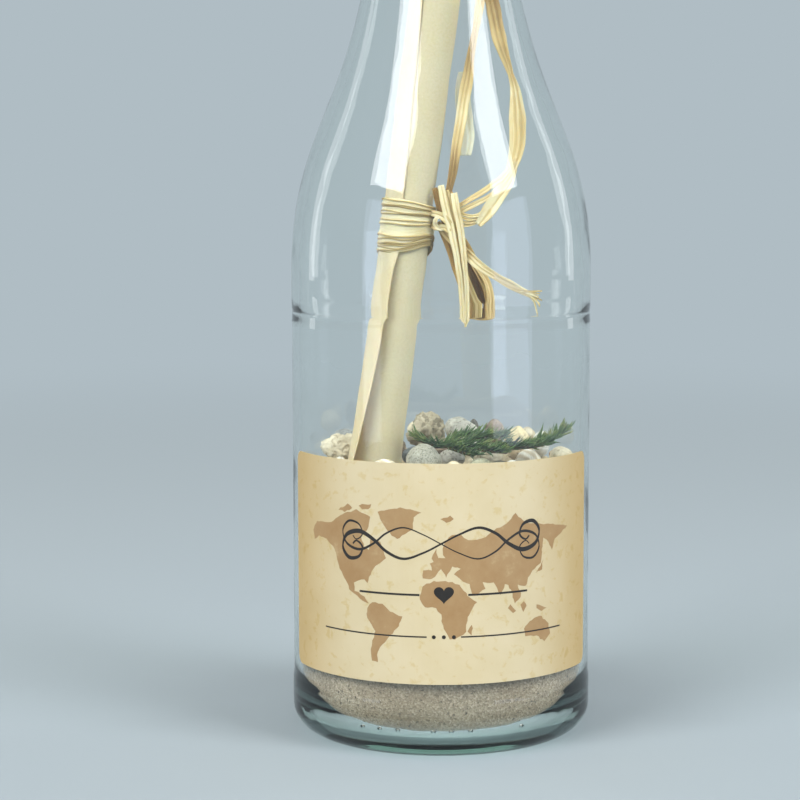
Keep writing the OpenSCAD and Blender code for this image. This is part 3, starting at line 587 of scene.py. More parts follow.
# Seven small air bubbles sit in the thick heel, in front
BUBBLE = Matrix.Translation((0, -40.6 * MM, 8.3 * MM)) @ Matrix.Diagonal((0.75 * MM, 0.45 * MM, 0.5 * MM, 1))
for turn in (-32, -24.5, -17, -3, 4, 11.5, 33):
    there = Matrix.Rotation(math.radians(turn), 4, "Z") @ BUBBLE
    made = bmesh.ops.create_icosphere(outer, subdivisions=2, radius=1, matrix=there)
    hollow = {face for v in made["verts"] for face in v.link_faces}
    bmesh.ops.reverse_faces(outer, faces=list(hollow))

glass = new_finish("clear soda-lime glass")
shader = add(glass, "BsdfPrincipled", {"Base Color": linear("#FEFEFE"), "Roughness": 0.0, "IOR": 1.52,
                                       "Transmission Weight": 1.0})
# Lamps reach what is inside: to their rays the glass is only a tint
ray = add(glass, "LightPath")
clear = add(glass, "BsdfTransparent", {"Color": linear("#FDFDFC")})
mixed = add(glass, "MixShader", {0: ray.outputs["Is Shadow Ray"], 1: shader.outputs[0], 2: clear.outputs[0]})
# Traces of iron make thick glass green: each centimetre holds back a seventh of the red
tint = add(glass, "VolumeAbsorption", {"Color": linear("#78C4A4"), "Density": 19.0})
add(glass, "OutputMaterial", {"Surface": mixed.outputs[0], "Volume": tint.outputs[0]})
make_piece("glass_bottle", outer, glass, "bottle", "clear_glass", "bottle")


# The cork: a tapered stopper punched from bark, with open pores and darker bands across the grain.
CORK_LOW, CORK_TOP = (corner.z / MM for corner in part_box("cork"))
CORK_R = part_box("cork")[1].x / MM
CORK_TAPER, CORK_EDGE = 0.065, 0.8
cork_foot = CORK_R - CORK_TAPER * (CORK_TOP - CORK_LOW - 1)
outline = [(cork_foot * i / 18, CORK_LOW) for i in range(18)]
outline += arc(cork_foot - CORK_EDGE, CORK_LOW + CORK_EDGE, CORK_EDGE, -90, 0, 4)
side_h = CORK_TOP - CORK_LOW - 2
outline += [(cork_foot + (CORK_R - cork_foot) * i / 62, CORK_LOW + 1 + side_h * i / 62) for i in range(1, 62)]
outline += arc(CORK_R - CORK_EDGE, CORK_TOP - CORK_EDGE, CORK_EDGE, 0, 90, 4)
outline += [(CORK_R * (1 - i / 18), CORK_TOP) for i in range(1, 19)]
bm = spun(outline, 176)
bmesh.ops.recalc_face_normals(bm, faces=bm.faces)
bm.normal_update()
for v in bm.verts:
    at = v.co / MM
    pore = noise.noise(Vector((at.x * 0.5, at.y * 0.5, at.z * 1.5)))
    crack = noise.noise(Vector((at.x * 1.6, at.y * 0.35, at.z * 1.1)) + Vector((7, 3, 1)))
    depth = 0.75 * max(0, pore - 0.28) + 0.5 * max(0, crack - 0.38)
    v.co -= v.normal * min(depth, 0.45) * MM
cork = new_finish("natural cork oak bark")
place = add(cork, "TexCoord")
grain = add(cork, "TexNoise", {"Vector": place.outputs["Object"], "Scale": 900, "Detail": 6,
                               "Roughness": 0.7})
stretched = add(cork, "Mapping", {"Vector": place.outputs["Object"], "Scale": (1, 0.35, 1.6)})
band = add(cork, "TexNoise", {"Vector": stretched.outputs[0], "Scale": 260, "Detail": 4})
pits = add(cork, "TexVoronoi", {"Vector": stretched.outputs[0], "Scale": 420, "Randomness": 1.0})
tone = add(cork, "ValToRGB", {"Fac": grain.outputs[0]},
           [(0.3, "#A97B4B"), (0.55, "#CDA273"), (0.8, "#DDBB8E")])
dark = add(cork, "ValToRGB", {"Fac": band.outputs[0]}, [(0.36, "#6E4423"), (0.46, "#FFFFFF")])
spots = add(cork, "ValToRGB", {"Fac": pits.outputs["Distance"]}, [(0.08, "#5C3A20"), (0.2, "#FFFFFF")])
dimmed = add(cork, "Mix", {0: 0.75, 6: tone.outputs[0], 7: dark.outputs[0]},
             data_type="RGBA", blend_type="MULTIPLY")
spotted = add(cork, "Mix", {0: 0.6, 6: dimmed.outputs[2], 7: spots.outputs[0]},
              data_type="RGBA", blend_type="MULTIPLY")
bump = add(cork, "Bump", {"Height": grain.outputs[0], "Strength": 0.6, "Distance": 0.0003})
shader = add(cork, "BsdfPrincipled", {"Base Color": spotted.outputs[2], "Roughness": 0.85,
                                      "Normal": bump.outputs[0]})
add(cork, "OutputMaterial", {"Surface": shader.outputs[0]})
make_piece("bark_cork", bm, cork, "cork", "natural_cork", "cork")


# The sand: fine grey-beige beach sand poured in first, its top rising a little towards the back.
SAND_Z, SAND_SLOPE = 72, 0.1
GAP = 0.1
outline = [(0, SAND_Z)] + [(1.2 * i, SAND_Z) for i in range(1, 34)] + [(INNER_R - GAP - 0.6, SAND_Z)]
outline += straight(INNER_R - GAP, SAND_Z - 0.8, FLOOR_Z + CORNER_H + 1, 3)
outline += foot_curve(GAP, 20, 10)
bm = spun(outline, 200)
for v in bm.verts:
    at = v.co / MM
    if at.z > SAND_Z - 1:
        rough = 0.5 * noise.noise(at * 0.12) + 0.3 * noise.noise(at * 0.7)
        v.co.z += (SAND_SLOPE * at.y + rough - 0.4) * MM
bmesh.ops.recalc_face_normals(bm, faces=bm.faces)
sand = new_finish("fine beach sand")
place = add(sand, "TexCoord")
# Grains of about 0.5 mm, each with its own tone, and here and there a dark one
grains = add(sand, "TexVoronoi", {"Vector": place.outputs["Object"], "Scale": 2000})
coarse = add(sand, "TexVoronoi", {"Vector": place.outputs["Object"], "Scale": 1500})
drift = add(sand, "TexNoise", {"Vector": place.outputs["Object"], "Scale": 60, "Detail": 3})
tone = add(sand, "ValToRGB", {"Fac": grains.outputs["Color"]},
           [(0.05, "#857763"), (0.3, "#AF9F86"), (0.6, "#BEAE94"), (0.95, "#DACBB2")])
speck = add(sand, "ValToRGB", {"Fac": coarse.outputs["Color"]}, [(0.06, "#4A443C"), (0.12, "#FFFFFF")])
cloud = add(sand, "ValToRGB", {"Fac": drift.outputs[0]}, [(0.3, "#DED8D0"), (0.7, "#FFFFFF")])
mixed = add(sand, "Mix", {0: 0.7, 6: tone.outputs[0], 7: speck.outputs[0]},
            data_type="RGBA", blend_type="MULTIPLY")
mixed = add(sand, "Mix", {0: 1.0, 6: mixed.outputs[2], 7: cloud.outputs[0]},
            data_type="RGBA", blend_type="MULTIPLY")
bump = add(sand, "Bump", {"Height": grains.outputs["Distance"], "Strength": 0.8, "Distance": 0.0003})
shader = add(sand, "BsdfPrincipled", {"Base Color": mixed.outputs[2], "Roughness": 0.8,
                                      "Normal": bump.outputs[0]})
add(sand, "OutputMaterial", {"Surface": shader.outputs[0]})
make_piece("poured_sand", bm, sand, "bottle", "beach_sand", "sand")


# The stones: sea-worn pebbles. A sphere is drawn onto each solid, smoothed, and roughened in its own way.
# Each kind of rock has its own finish: worn ones are dull, with speckles or bands of their minerals.
def shells_of(name):
    """The separate solids of a CAD node, each as a search tree with its middle and half sizes."""
    whole = bmesh.new()
    whole.from_mesh(frame["nodes"][name].data)
    bmesh.ops.remove_doubles(whole, verts=whole.verts, dist=1e-7)
    left = set(whole.faces)
    found = []
    for first in whole.faces:
        if first not in left:
            continue
        left.remove(first)
        stack = [first]
        group = []
        while stack:
            face = stack.pop()
            group.append(face)
            for edge in face.edges:
                for other in edge.link_faces:
                    if other in left:
                        left.remove(other)
                        stack.append(other)
        corners = [v.co.copy() for face in group for v in face.verts]
        faces = []
        for face in group:
            start = sum(len(f) for f in faces)
            faces.append([start + i for i in range(len(face.verts))])
        low = Vector([min(c[i] for c in corners) for i in range(3)])
        high = Vector([max(c[i] for c in corners) for i in range(3)])
        tree = BVHTree.FromPolygons([tuple(c) for c in corners], faces)
        found.append((tree, (low + high) / 2, (high - low) / 2))
    whole.free()
    return found


def drawn_on(bm, shell, detail, smoothing=3):
    """Adds a sphere to bm, drawn in onto one solid, and returns its vertices."""
    tree, middle, half = shell
    made = bmesh.ops.create_icosphere(bm, subdivisions=detail, radius=1)["verts"]
    for v in made:
        way = Vector((v.co.x * half.x, v.co.y * half.y, v.co.z * half.z))
        hit, _, _, _ = tree.ray_cast(middle + way * 3, -way)
        v.co = hit if hit else middle + way
    for _ in range(smoothing):
        bmesh.ops.smooth_vert(bm, verts=made, factor=0.5, use_axis_x=True, use_axis_y=True, use_axis_z=True)
    return made


def roughen(bm, verts, middle, seed, lumps, grit):
    """Moves vertices in and out: lumps are broad hollows and grit is fine, both in millimetres."""
    for v in verts:
        way = (v.co - middle).normalized()
        at = v.co / MM + Vector((seed * 13.1, seed * 7.7, seed * 3.3))
        v.co += way * MM * (lumps * (noise.noise(at * 0.35) - 0.2) + grit * noise.noise(at * 1.6)
                            + 0.5 * grit * noise.noise(at * 3.7))


def rock_finish(name, main, second, speckle, grain_mm=0.6, share=0.35, banded=0.0, rough=0.55):
    """Worn rock: a broad change of tone, mineral speckles of a real size and perhaps bands."""
    material = new_finish(name)
    place = add(material, "TexCoord")
    stretch = add(material, "Mapping", {"Vector": place.outputs["Object"], "Scale": (1, 1, 1 + 5 * banded),
                                        "Rotation": (0.5, 0.3, 0)})
    broad = add(material, "TexNoise", {"Vector": stretch.outputs[0], "Scale": 150, "Detail": 4,
                                       "Roughness": 0.6})
    fine = add(material, "TexNoise", {"Vector": place.outputs["Object"], "Scale": 700 / grain_mm,
                                      "Detail": 3})
    crystal = add(material, "TexVoronoi", {"Vector": place.outputs["Object"], "Scale": 1000 / grain_mm})
    tone = add(material, "ValToRGB", {"Fac": broad.outputs[0]}, [(0.35, second), (0.62, main)])
    dots = add(material, "ValToRGB", {"Fac": crystal.outputs["Color"]},
               [(share * 0.8, speckle), (share, "#FFFFFF")])
    cast = add(material, "ValToRGB", {"Fac": fine.outputs[0]}, [(0.3, "#C9C5BC"), (0.65, "#FFFFFF")])
    mixed = add(material, "Mix", {0: 0.5, 6: tone.outputs[0], 7: dots.outputs[0]},
                data_type="RGBA", blend_type="MULTIPLY")
    mixed = add(material, "Mix", {0: 0.6, 6: mixed.outputs[2], 7: cast.outputs[0]},
                data_type="RGBA", blend_type="MULTIPLY")
    bump = add(material, "Bump", {"Height": fine.outputs[0], "Strength": 0.35, "Distance": 0.0002})
    shader = add(material, "BsdfPrincipled", {"Base Color": mixed.outputs[2], "Roughness": rough,
                                              "Normal": bump.outputs[0]})
    add(material, "OutputMaterial", {"Surface": shader.outputs[0]})
    return material


cream_rock = rock_finish("cream limestone", "#EDE2C6", "#DCCDAA", "#C2B18C", 0.7, 0.2, rough=0.7)
chalk_rock = rock_finish("gritty cream sandstone", "#E9DFC6", "#CFC1A2", "#A89877", 1.1, 0.3, rough=0.85)
beige_rock = rock_finish("weathered conglomerate", "#C6BCA4", "#A69C82", "#746C58", 1.3, 0.35, rough=0.85)
yellow_rock = rock_finish("yellow sandstone", "#EBDDB2", "#D8C591", "#B8A06C", 0.8, 0.2, rough=0.75)
grey_rock = rock_finish("grey granite", "#C6C3B6", "#AEABA0", "#7F7D74", 0.55, 0.3, rough=0.6)
speckled_rock = rock_finish("fine grey granite", "#B4B2A2", "#A4A293", "#65645A", 0.35, 0.3, rough=0.6)
dove_rock = rock_finish("dove grey limestone", "#D0CDC2", "#BDBAB0", "#96948B", 0.4, 0.2, rough=0.55)
mid_rock = rock_finish("grey basalt", "#A9AAA8", "#8F908E", "#636361", 0.4, 0.3, rough=0.5)
slate_rock = rock_finish("slate", "#8D9498", "#6E757A", "#4C5256", 0.4, 0.2, 0.8, rough=0.5)
white_rock = rock_finish("milky quartz", "#F0EEE6", "#E0DFD9", "#C3C2BC", 0.9, 0.15, rough=0.35)
tan_rock = rock_finish("tan flint", "#CDBB98", "#B09A74", "#80694A", 0.6, 0.25, rough=0.4)
taupe_rock = rock_finish("taupe mudstone", "#B3A394", "#96867A", "#675C52", 0.7, 0.25, 0.3, rough=0.65)
brown_rock = rock_finish("banded brown flint", "#A8937A", "#7E6C55", "#544636", 0.6, 0.3, 0.9, rough=0.45)
dark_rock = rock_finish("dark basalt", "#7A756C", "#57534C", "#38352F", 0.5, 0.35, rough=0.5)
green_rock = rock_finish("speckled greenstone", "#BDBBA2", "#96957B", "#55573F", 0.7, 0.4, rough=0.6)
olive_rock = rock_finish("olive serpentine", "#97957C", "#75745C", "#4B4B3A", 0.5, 0.3, rough=0.5)

# Each lower stone is half buried in the sand
for seed, (name, finish, slot) in enumerate([("bed_cream_stones", cream_rock, "cream_stone"),
                                             ("bed_grey_stones", grey_rock, "grey_stone"),
                                             ("bed_brown_stones", tan_rock, "brown_stone")]):
    bm = bmesh.new()
    for k, shell in enumerate(shells_of(name)):
        stone = drawn_on(bm, shell, 4)
        roughen(bm, stone, shell[1], 10 * seed + k, 0.3, 0.05)
    make_piece("worn_" + name, bm, finish, "bottle", slot, name)

# The upper stones, by name: the rock, and how lumpy and gritty each is
PEBBLES = {
    "round_grey_pebble": (speckled_rock, 0.15, 0.06), "pale_egg_pebble": (cream_rock, 0.2, 0.04),
    "speckled_green_pebble": (green_rock, 0.25, 0.06), "bluish_white_pebble": (white_rock, 0.2, 0.02),
    "small_tan_pebble": (tan_rock, 0.2, 0.03), "front_grey_pebble": (mid_rock, 0.2, 0.03),
    "left_small_pebble": (cream_rock, 0.2, 0.04), "front_small_pebble": (cream_rock, 0.2, 0.04),
    "dark_flat_pebble": (dark_rock, 0.3, 0.04), "olive_pebble": (olive_rock, 0.25, 0.03),
    "sandstone_pebble": (yellow_rock, 0.25, 0.06), "middle_grey_pebble": (grey_rock, 0.2, 0.05),
    "middle_cream_stone": (chalk_rock, 0.4, 0.12), "slate_pebble": (slate_rock, 0.2, 0.03),
    "smooth_white_shell": (cream_rock, 0.1, 0.02), "right_tan_pebble": (tan_rock, 0.3, 0.04),
    "dove_grey_pebble": (dove_rock, 0.2, 0.03), "back_brown_pebble": (brown_rock, 0.25, 0.03),
    "rough_beige_stone": (beige_rock, 1.9, 0.7), "flat_grey_pebble": (dove_rock, 0.3, 0.06),
    "taupe_stone": (taupe_rock, 0.5, 0.12), "dark_brown_stone": (dark_rock, 0.3, 0.05),
    "yellow_cream_stone": (yellow_rock, 0.5, 0.12), "white_pebble": (white_rock, 0.2, 0.02),
    "cream_mound_stone": (chalk_rock, 0.9, 0.45), "white_chip": (white_rock, 0.4, 0.1),
    "left_back_pebble": (brown_rock, 0.25, 0.03), "left_back_grey_pebble": (mid_rock, 0.25, 0.04),
    "back_cream_pebble": (cream_rock, 0.25, 0.05), "back_grey_pebble": (grey_rock, 0.25, 0.05),
    "right_back_pebble": (chalk_rock, 0.25, 0.06),
}
slots = {row["node"]: row["material_slot"] for row in frame["record"]["subparts"]}
for seed, (name, (finish, lumps, grit)) in enumerate(PEBBLES.items()):
    bm = bmesh.new()
    shell = shells_of(name)[0]
    stone = drawn_on(bm, shell, 5)
    roughen(bm, stone, shell[1], 40 + seed, lumps, grit)
    make_piece("worn_" + name, bm, finish, "bottle", slots[name], name)


# Shells: half cockles that lie open side down, and turret shells on their sides.
# Lime laid down in ribs and rings, bleached by the sea, with a little sheen left.
def shell_finish(name, pale, dark, ring_mm):
    """Shell lime: wavy growth rings of a real size between two tones."""
    material = new_finish(name)
    place = add(material, "TexCoord")
    waves = add(material, "TexWave", {"Vector": place.outputs["Object"], "Scale": 1 / (ring_mm * 7 * MM),
                                      "Distortion": 3, "Detail": 3}, bands_direction="DIAGONAL")
    cloud = add(material, "TexNoise", {"Vector": place.outputs["Object"], "Scale": 220, "Detail": 4})
    both = add(material, "Math", {0: waves.outputs["Fac"], 1: cloud.outputs[0]}, operation="MULTIPLY")
    tone = add(material, "ValToRGB", {"Fac": both.outputs[0]}, [(0.1, dark), (0.4, pale)])
    shader = add(material, "BsdfPrincipled", {"Base Color": tone.outputs[0], "Roughness": 0.45})
    add(material, "OutputMaterial", {"Surface": shader.outputs[0]})
    return material


white_shell = shell_finish("bleached cockle shell", "#F6F0E2", "#DCCDB0", 0.8)
brown_shell = shell_finish("banded turret shell", "#D2BC98", "#8A6540", 0.5)
# The cockles: where each one's beak points, in degrees round Z, and 22 ribs that run out from it
COCKLES = {"white_cockle": 20, "front_cream_cockle": 60, "ribbed_cream_shell": 160, "back_cockle": 200}
for name, turned in COCKLES.items():
    bm = bmesh.new()
    shell = shells_of(name)[0]
    valve = drawn_on(bm, shell, 5, 2)
    to_beak = Matrix.Rotation(math.radians(turned), 3, "Z") @ Vector((0, 1, 0))
    beak = shell[1] + to_beak * (shell[2].y * 0.35)
    for v in valve:
        flat = (v.co - beak).to_2d()
        turn = math.atan2(flat.y, flat.x)
        out = min(1, flat.length / (2.2 * MM))
        rib = 0.13 * out * math.cos(22 * turn) + 0.05 * math.cos(flat.length / MM * 5)
        v.co += (v.co - shell[1]).normalized() * rib * MM
    make_piece("worn_" + name, bm, white_shell, "bottle", slots[name], name)
# The turrets: where each one's axis points, and whorls 1.5 mm apart along it
WHORL = 1.5
TURRETS = {"brown_turret_shell": 100, "right_turret_shell": 75, "back_turret_shell": 150}
for name, turned in TURRETS.items():
    bm = bmesh.new()
    shell = shells_of(name)[0]
    spire = drawn_on(bm, shell, 5, 2)
    along_axis = Matrix.Rotation(math.radians(turned), 3, "Z") @ Vector((1, 0, 0))
    side = along_axis.cross(Vector((0, 0, 1)))
    for v in spire:
        off = (v.co - shell[1]) / MM
        s = off.dot(along_axis)
        turn = math.atan2(off.z, off.dot(side))
        out = off - along_axis * s
        whorl = 0.5 + 0.5 * math.cos(turn - 2 * math.pi * s / WHORL)
        v.co -= out * MM * 0.16 * whorl ** 3
    make_piece("worn_" + name, bm, brown_shell, "bottle", slots[name], name)


# The fir sprig: a thin woody stem with side twigs, thick with flat, pointed needles that lean to the tip.
# Each needle is one bent blade, copied along the twigs in a spiral; needles that would reach into the letter
# or the glass are left out.
SPRIG = [
    [(-5, -13.4, 85.6), (0, -14, 85.8), (6, -14.4, 85.6), (12, -14, 85.2), (18, -13, 85),
     (24, -11.6, 85.2), (29, -9.8, 86), (33.4, -7.8, 87.4), (37.2, -5.2, 89.2)],
    [(0, -14, 85.8), (-2.8, -15.4, 86.6), (-5.4, -16, 87.6), (-7.6, -16, 88.8)],
    [(0, -14, 85.8), (3, -11.4, 87.2), (6, -9, 88.2), (9, -7.4, 88.8)],
    [(5, -14.3, 85.6), (8, -12.8, 87), (11.2, -11.8, 88.2), (14.4, -11.2, 89)],
    [(9, -14.2, 85.4), (12, -11.4, 86.4), (15.4, -9.2, 87.4), (19, -7.8, 87.8)],
    [(2, -14.1, 85.7), (4.4, -16.6, 85), (6.8, -18.8, 84.4), (9.4, -20.6, 84)],
    [(9.6, -14.2, 85.4), (12.4, -16.8, 85), (15.4, -18.8, 84.8), (18.8, -20.2, 84.8)],
    [(15, -13.6, 85.1), (18, -15.4, 85.6), (21.4, -16.8, 86), (25, -17.6, 86.4)],
    [(22, -12.2, 85.1), (25, -13.6, 85.4), (28.2, -14.4, 86), (31.4, -14.6, 86.8)]]
# Young bark is dull and brown, with fine pale ridges
bark = new_finish("young fir bark")
place = add(bark, "TexCoord")
ridges = add(bark, "TexNoise", {"Vector": place.outputs["Object"], "Scale": 1400, "Detail": 4})
tone = add(bark, "ValToRGB", {"Fac": ridges.outputs[0]}, [(0.35, "#3A2E1A"), (0.65, "#6B5A35")])
shader = add(bark, "BsdfPrincipled", {"Base Color": tone.outputs[0], "Roughness": 0.8})
add(bark, "OutputMaterial", {"Surface": shader.outputs[0]})


def turned_to(way):
    """A rotation that lays Z along a direction, with Y as nearly upwards as it goes."""
    across = way.cross(Vector((0, 0, 1))).normalized()
    return Matrix((across, across.cross(way), way)).transposed()


def grow(bm, rim):
    """Extrudes a rim of edges, and returns the new vertices and the new rim."""
    grown = bmesh.ops.extrude_edge_only(bm, edges=rim)["geom"]
    return ([v for v in grown if isinstance(v, bmesh.types.BMVert)],
            [edge for edge in grown if isinstance(edge, bmesh.types.BMEdge)])


TWIG_R = 0.55
stem = bmesh.new()
for twig in SPRIG:
    line = [at for at, _ in smooth_route(twig, 0.8)]
    way = line[1] - line[0]
    place = Matrix.Translation(line[0] * MM) @ turned_to(way.normalized()).to_4x4()
    foot = bmesh.ops.create_circle(stem, cap_ends=True, segments=8, radius=TWIG_R * MM, matrix=place)
    ring = foot["verts"]
    rim = [edge for edge in stem.edges if edge.verts[0] in ring and edge.verts[1] in ring]
    for i, at in enumerate(line[1:], 1):
        ring, rim = grow(stem, rim)
        before = line[i - 1] * MM
        new_way = line[min(i + 1, len(line) - 1)] - line[i - 1]
        bend = way.rotation_difference(new_way).to_matrix()
        way = new_way
        slim = 0.965 + 0.1 * noise.noise(at * 1.5)
        for v in ring:
            v.co = at * MM + bend @ (v.co - before) * slim
    bmesh.ops.edgeloop_fill(stem, edges=rim)
bmesh.ops.recalc_face_normals(stem, faces=stem.faces)
make_piece("fir_twigs", stem, bark, "bottle", "fir_bark", "sprig_stem")

# Fir needles have a waxy, slightly glossy skin
leaf = new_finish("fir needles")
place = add(leaf, "TexCoord")
# The needles' colour changes from twig to twig, some 6 mm apart, and pales towards their tips
shade = add(leaf, "TexNoise", {"Vector": place.outputs["Object"], "Scale": 160, "Detail": 2})
along_leaf = add(leaf, "SeparateXYZ", {0: place.outputs["UV"]})
both = add(leaf, "Math", {0: along_leaf.outputs[1], 1: 0.3, 2: shade.outputs[0]}, operation="MULTIPLY_ADD")
tone = add(leaf, "ValToRGB", {"Fac": both.outputs[0]},
           [(0.32, "#1C3019"), (0.55, "#2E4A25"), (0.75, "#4D6831"), (0.95, "#84864A")])
shader = add(leaf, "BsdfPrincipled", {
    "Base Color": tone.outputs[0], "Roughness": 0.4,
    "Subsurface Weight": 0.1, "Subsurface Radius": (0.4, 1.0, 0.2), "Subsurface Scale": 0.0006})
add(leaf, "OutputMaterial", {"Surface": shader.outputs[0]})
NEEDLE_L, NEEDLE_W, NEEDLE_STEP, SPIRAL = 5, 0.6, 0.5, 137.5

# One needle of length 1 along Z: a flat blade of four sides, widest near its foot
blade = bmesh.new()
bmesh.ops.create_circle(blade, cap_ends=True, segments=4, radius=0.2)
rim = blade.edges[:]
for height, size in ((0.3, 2.5), (0.45, 0.8)):
    ring, rim = grow(blade, rim)
    bmesh.ops.translate(blade, verts=ring, vec=(0, 0, height))
    bmesh.ops.scale(blade, verts=ring, vec=(size, size, 1))
ring, rim = grow(blade, rim)
bmesh.ops.pointmerge(blade, verts=ring, merge_co=(0, 0, 1))
bmesh.ops.scale(blade, verts=blade.verts, vec=(1, 0.45, 1))
lay_uv(blade, lambda co: (co.x, co.z))
blade_mesh = bpy.data.meshes.new("needle")
blade.to_mesh(blade_mesh)
blade.free()
corners = [v.co.copy() for v in blade_mesh.vertices]


def roll_axis_at(z):
    """The middle of the rolled letter at a height."""
    return FOOT + ROLL_WAY * ((z - FOOT.z) / ROLL_WAY.z)


random.seed(7)
needles = bmesh.new()
needles.loops.layers.uv.verify()
for number, twig in enumerate(SPRIG):
    line = [at for at, _ in smooth_route(twig, NEEDLE_STEP)]
    for i, at in enumerate(line[:-1]):
        way = (line[i + 1] - line[max(i - 1, 0)]).normalized()
        frame_of_twig = turned_to(way)
        for spoke in range(3):
            turn = math.radians(SPIRAL * (3 * i + spoke)) + random.uniform(-0.4, 0.4)
            out = frame_of_twig @ Vector((math.cos(turn), math.sin(turn), 0))
            if out.z < -0.2:
                out.z *= -0.8
            aim = (way * random.uniform(0.9, 1.9) + out).normalized()
            # Near the tip of the main stem some needles stand straight up
            if number == 0 and i > 0.72 * len(line) and spoke == 0:
                aim = (way * 0.35 + Vector((0, 0, 1))).normalized()
            long = NEEDLE_L * random.uniform(0.65, 1.15) * (0.85 if i > len(line) - 6 else 1)
            tip = at + aim * long
            if (tip - roll_axis_at(tip.z)).to_2d().length < ROLL_R + 1 or tip.to_2d().length > INNER_R - 0.8:
                continue
            pose = turned_to(aim) @ Matrix.Rotation(random.uniform(0, math.pi), 3, "Z")
            droop = Vector((0, 0, random.uniform(-1.0, 1.2)))
            first = len(needles.verts)
            needles.from_mesh(blade_mesh)
            needles.verts.ensure_lookup_table()
            for v, co in zip(needles.verts[first:], corners):
                shaped = Vector((co.x * NEEDLE_W, co.y * NEEDLE_W, co.z * long))
                v.co = (at + pose @ shaped + droop * co.z ** 2) * MM
bpy.data.meshes.remove(blade_mesh)
bmesh.ops.recalc_face_normals(needles, faces=needles.faces)
make_piece("fir_leaves", needles, leaf, "bottle", "fir_needles", "sprig_needles")


# The label: a matt paper sticker, printed in aged tones and pressed onto the panel.
# It is made flat, in millimetres from the middle of its lower edge, and then bent round the bottle.
LABEL_W = math.radians(141) * PANEL_R
LABEL_H, LABEL_Z, LABEL_CORNER, LABEL_T = 62.5, 22.3, 3, 0.15
GLUE_T, INK_T = 0.03, 0.02


def bent(bm, lift):
    """Bends a flat mesh of x across and y up round the label panel, a lift above the glass."""
    bm.normal_update()
    bmesh.ops.reverse_faces(bm, faces=[face for face in bm.faces if face.normal.z < 0])
    for v in bm.verts:
        turn = v.co.x / PANEL_R
        r = PANEL_R + lift + v.co.z
        v.co = Vector((r * math.sin(turn), -r * math.cos(turn), LABEL_Z + v.co.y)) * MM


def flat_shape(bm, outline, step=1.5):
    """Adds a flat face with an outline, cut into strips that can bend."""
    face = bm.faces.new([bm.verts.new((x, y, 0)) for x, y in outline])
    part = bmesh.ops.triangulate(bm, faces=[face])["faces"]
    # Each edge and corner once, in the same order every time
    edges = [edge for face in part for edge in face.edges]
    corners = [v for face in part for v in face.verts]
    part += dict.fromkeys(edges + corners)
    low = min(x for x, _ in outline)
    high = max(x for x, _ in outline)
    for i in range(1, int((high - low) / step) + 1):
        part = bmesh.ops.bisect_plane(bm, geom=part, dist=1e-5, plane_co=(low + i * step, 0, 0),
                                      plane_no=(1, 0, 0))["geom"]


corner_points = []
for cx, cy, start in ((LABEL_W / 2 - LABEL_CORNER, LABEL_H - LABEL_CORNER, 0),
                      (-LABEL_W / 2 + LABEL_CORNER, LABEL_H - LABEL_CORNER, 90),
                      (-LABEL_W / 2 + LABEL_CORNER, LABEL_CORNER, 180),
                      (LABEL_W / 2 - LABEL_CORNER, LABEL_CORNER, 270)):
    corner_points += arc(cx, cy, LABEL_CORNER, start, start + 90, 8)
bm = bmesh.new()
flat_shape(bm, corner_points)
lay_uv(bm, lambda co: (co.x, co.y))
made = bmesh.ops.extrude_face_region(bm, geom=bm.faces[:])
risen = [v for v in made["geom"] if isinstance(v, bmesh.types.BMVert)]
bmesh.ops.translate(bm, verts=risen, vec=(0, 0, LABEL_T))
bent(bm, GLUE_T)
bmesh.ops.recalc_face_normals(bm, faces=bm.faces)
label_paper = new_finish("printed label paper")
place = add(label_paper, "TexCoord")
# Printed age: broad clouds some 15 mm across and faint ragged stains of a few millimetres; painted shade
# darkens the side edges
cloud = add(label_paper, "TexNoise", {"Vector": place.outputs["UV"], "Scale": 0.06, "Detail": 3})
stain = add(label_paper, "TexNoise", {"Vector": place.outputs["UV"], "Scale": 0.3, "Detail": 10,
                                      "Roughness": 0.62, "Distortion": 0.4})
tone = add(label_paper, "ValToRGB", {"Fac": cloud.outputs[0]}, [(0.38, "#E6D5AB"), (0.62, "#EBDBB4")])
aged = add(label_paper, "ValToRGB", {"Fac": stain.outputs[0]},
           [(0.56, "#FFFFFF"), (0.62, "#F8F2DE"), (0.72, "#F2EACD")])
across = add(label_paper, "SeparateXYZ", {0: place.outputs["UV"]})
off = add(label_paper, "Math", {0: across.outputs[0]}, operation="ABSOLUTE")
# Painted shade: the paper darkens from 22 mm off the middle out to the side edges
side = add(label_paper, "MapRange", {0: off.outputs[0], 1: 22, 2: 54}, interpolation_type="SMOOTHSTEP")
painted_side_shade = add(label_paper, "ValToRGB", {"Fac": side.outputs[0]}, [(0.0, "#FFFFFF"), (1.0, "#E3D3B4")])
mixed = add(label_paper, "Mix", {0: 0.8, 6: tone.outputs[0], 7: aged.outputs[0]},
            data_type="RGBA", blend_type="MULTIPLY")
mixed = add(label_paper, "Mix", {0: 1.0, 6: mixed.outputs[2], 7: painted_side_shade.outputs[0]},
            data_type="RGBA", blend_type="MULTIPLY")
shader = add(label_paper, "BsdfPrincipled", {"Base Color": mixed.outputs[2], "Roughness": 0.6})
add(label_paper, "OutputMaterial", {"Surface": shader.outputs[0]})
label = make_piece("paper_label", bm, label_paper, "bottle", "label_paper", "label")
for face in label.data.polygons:
    face.use_smooth = False

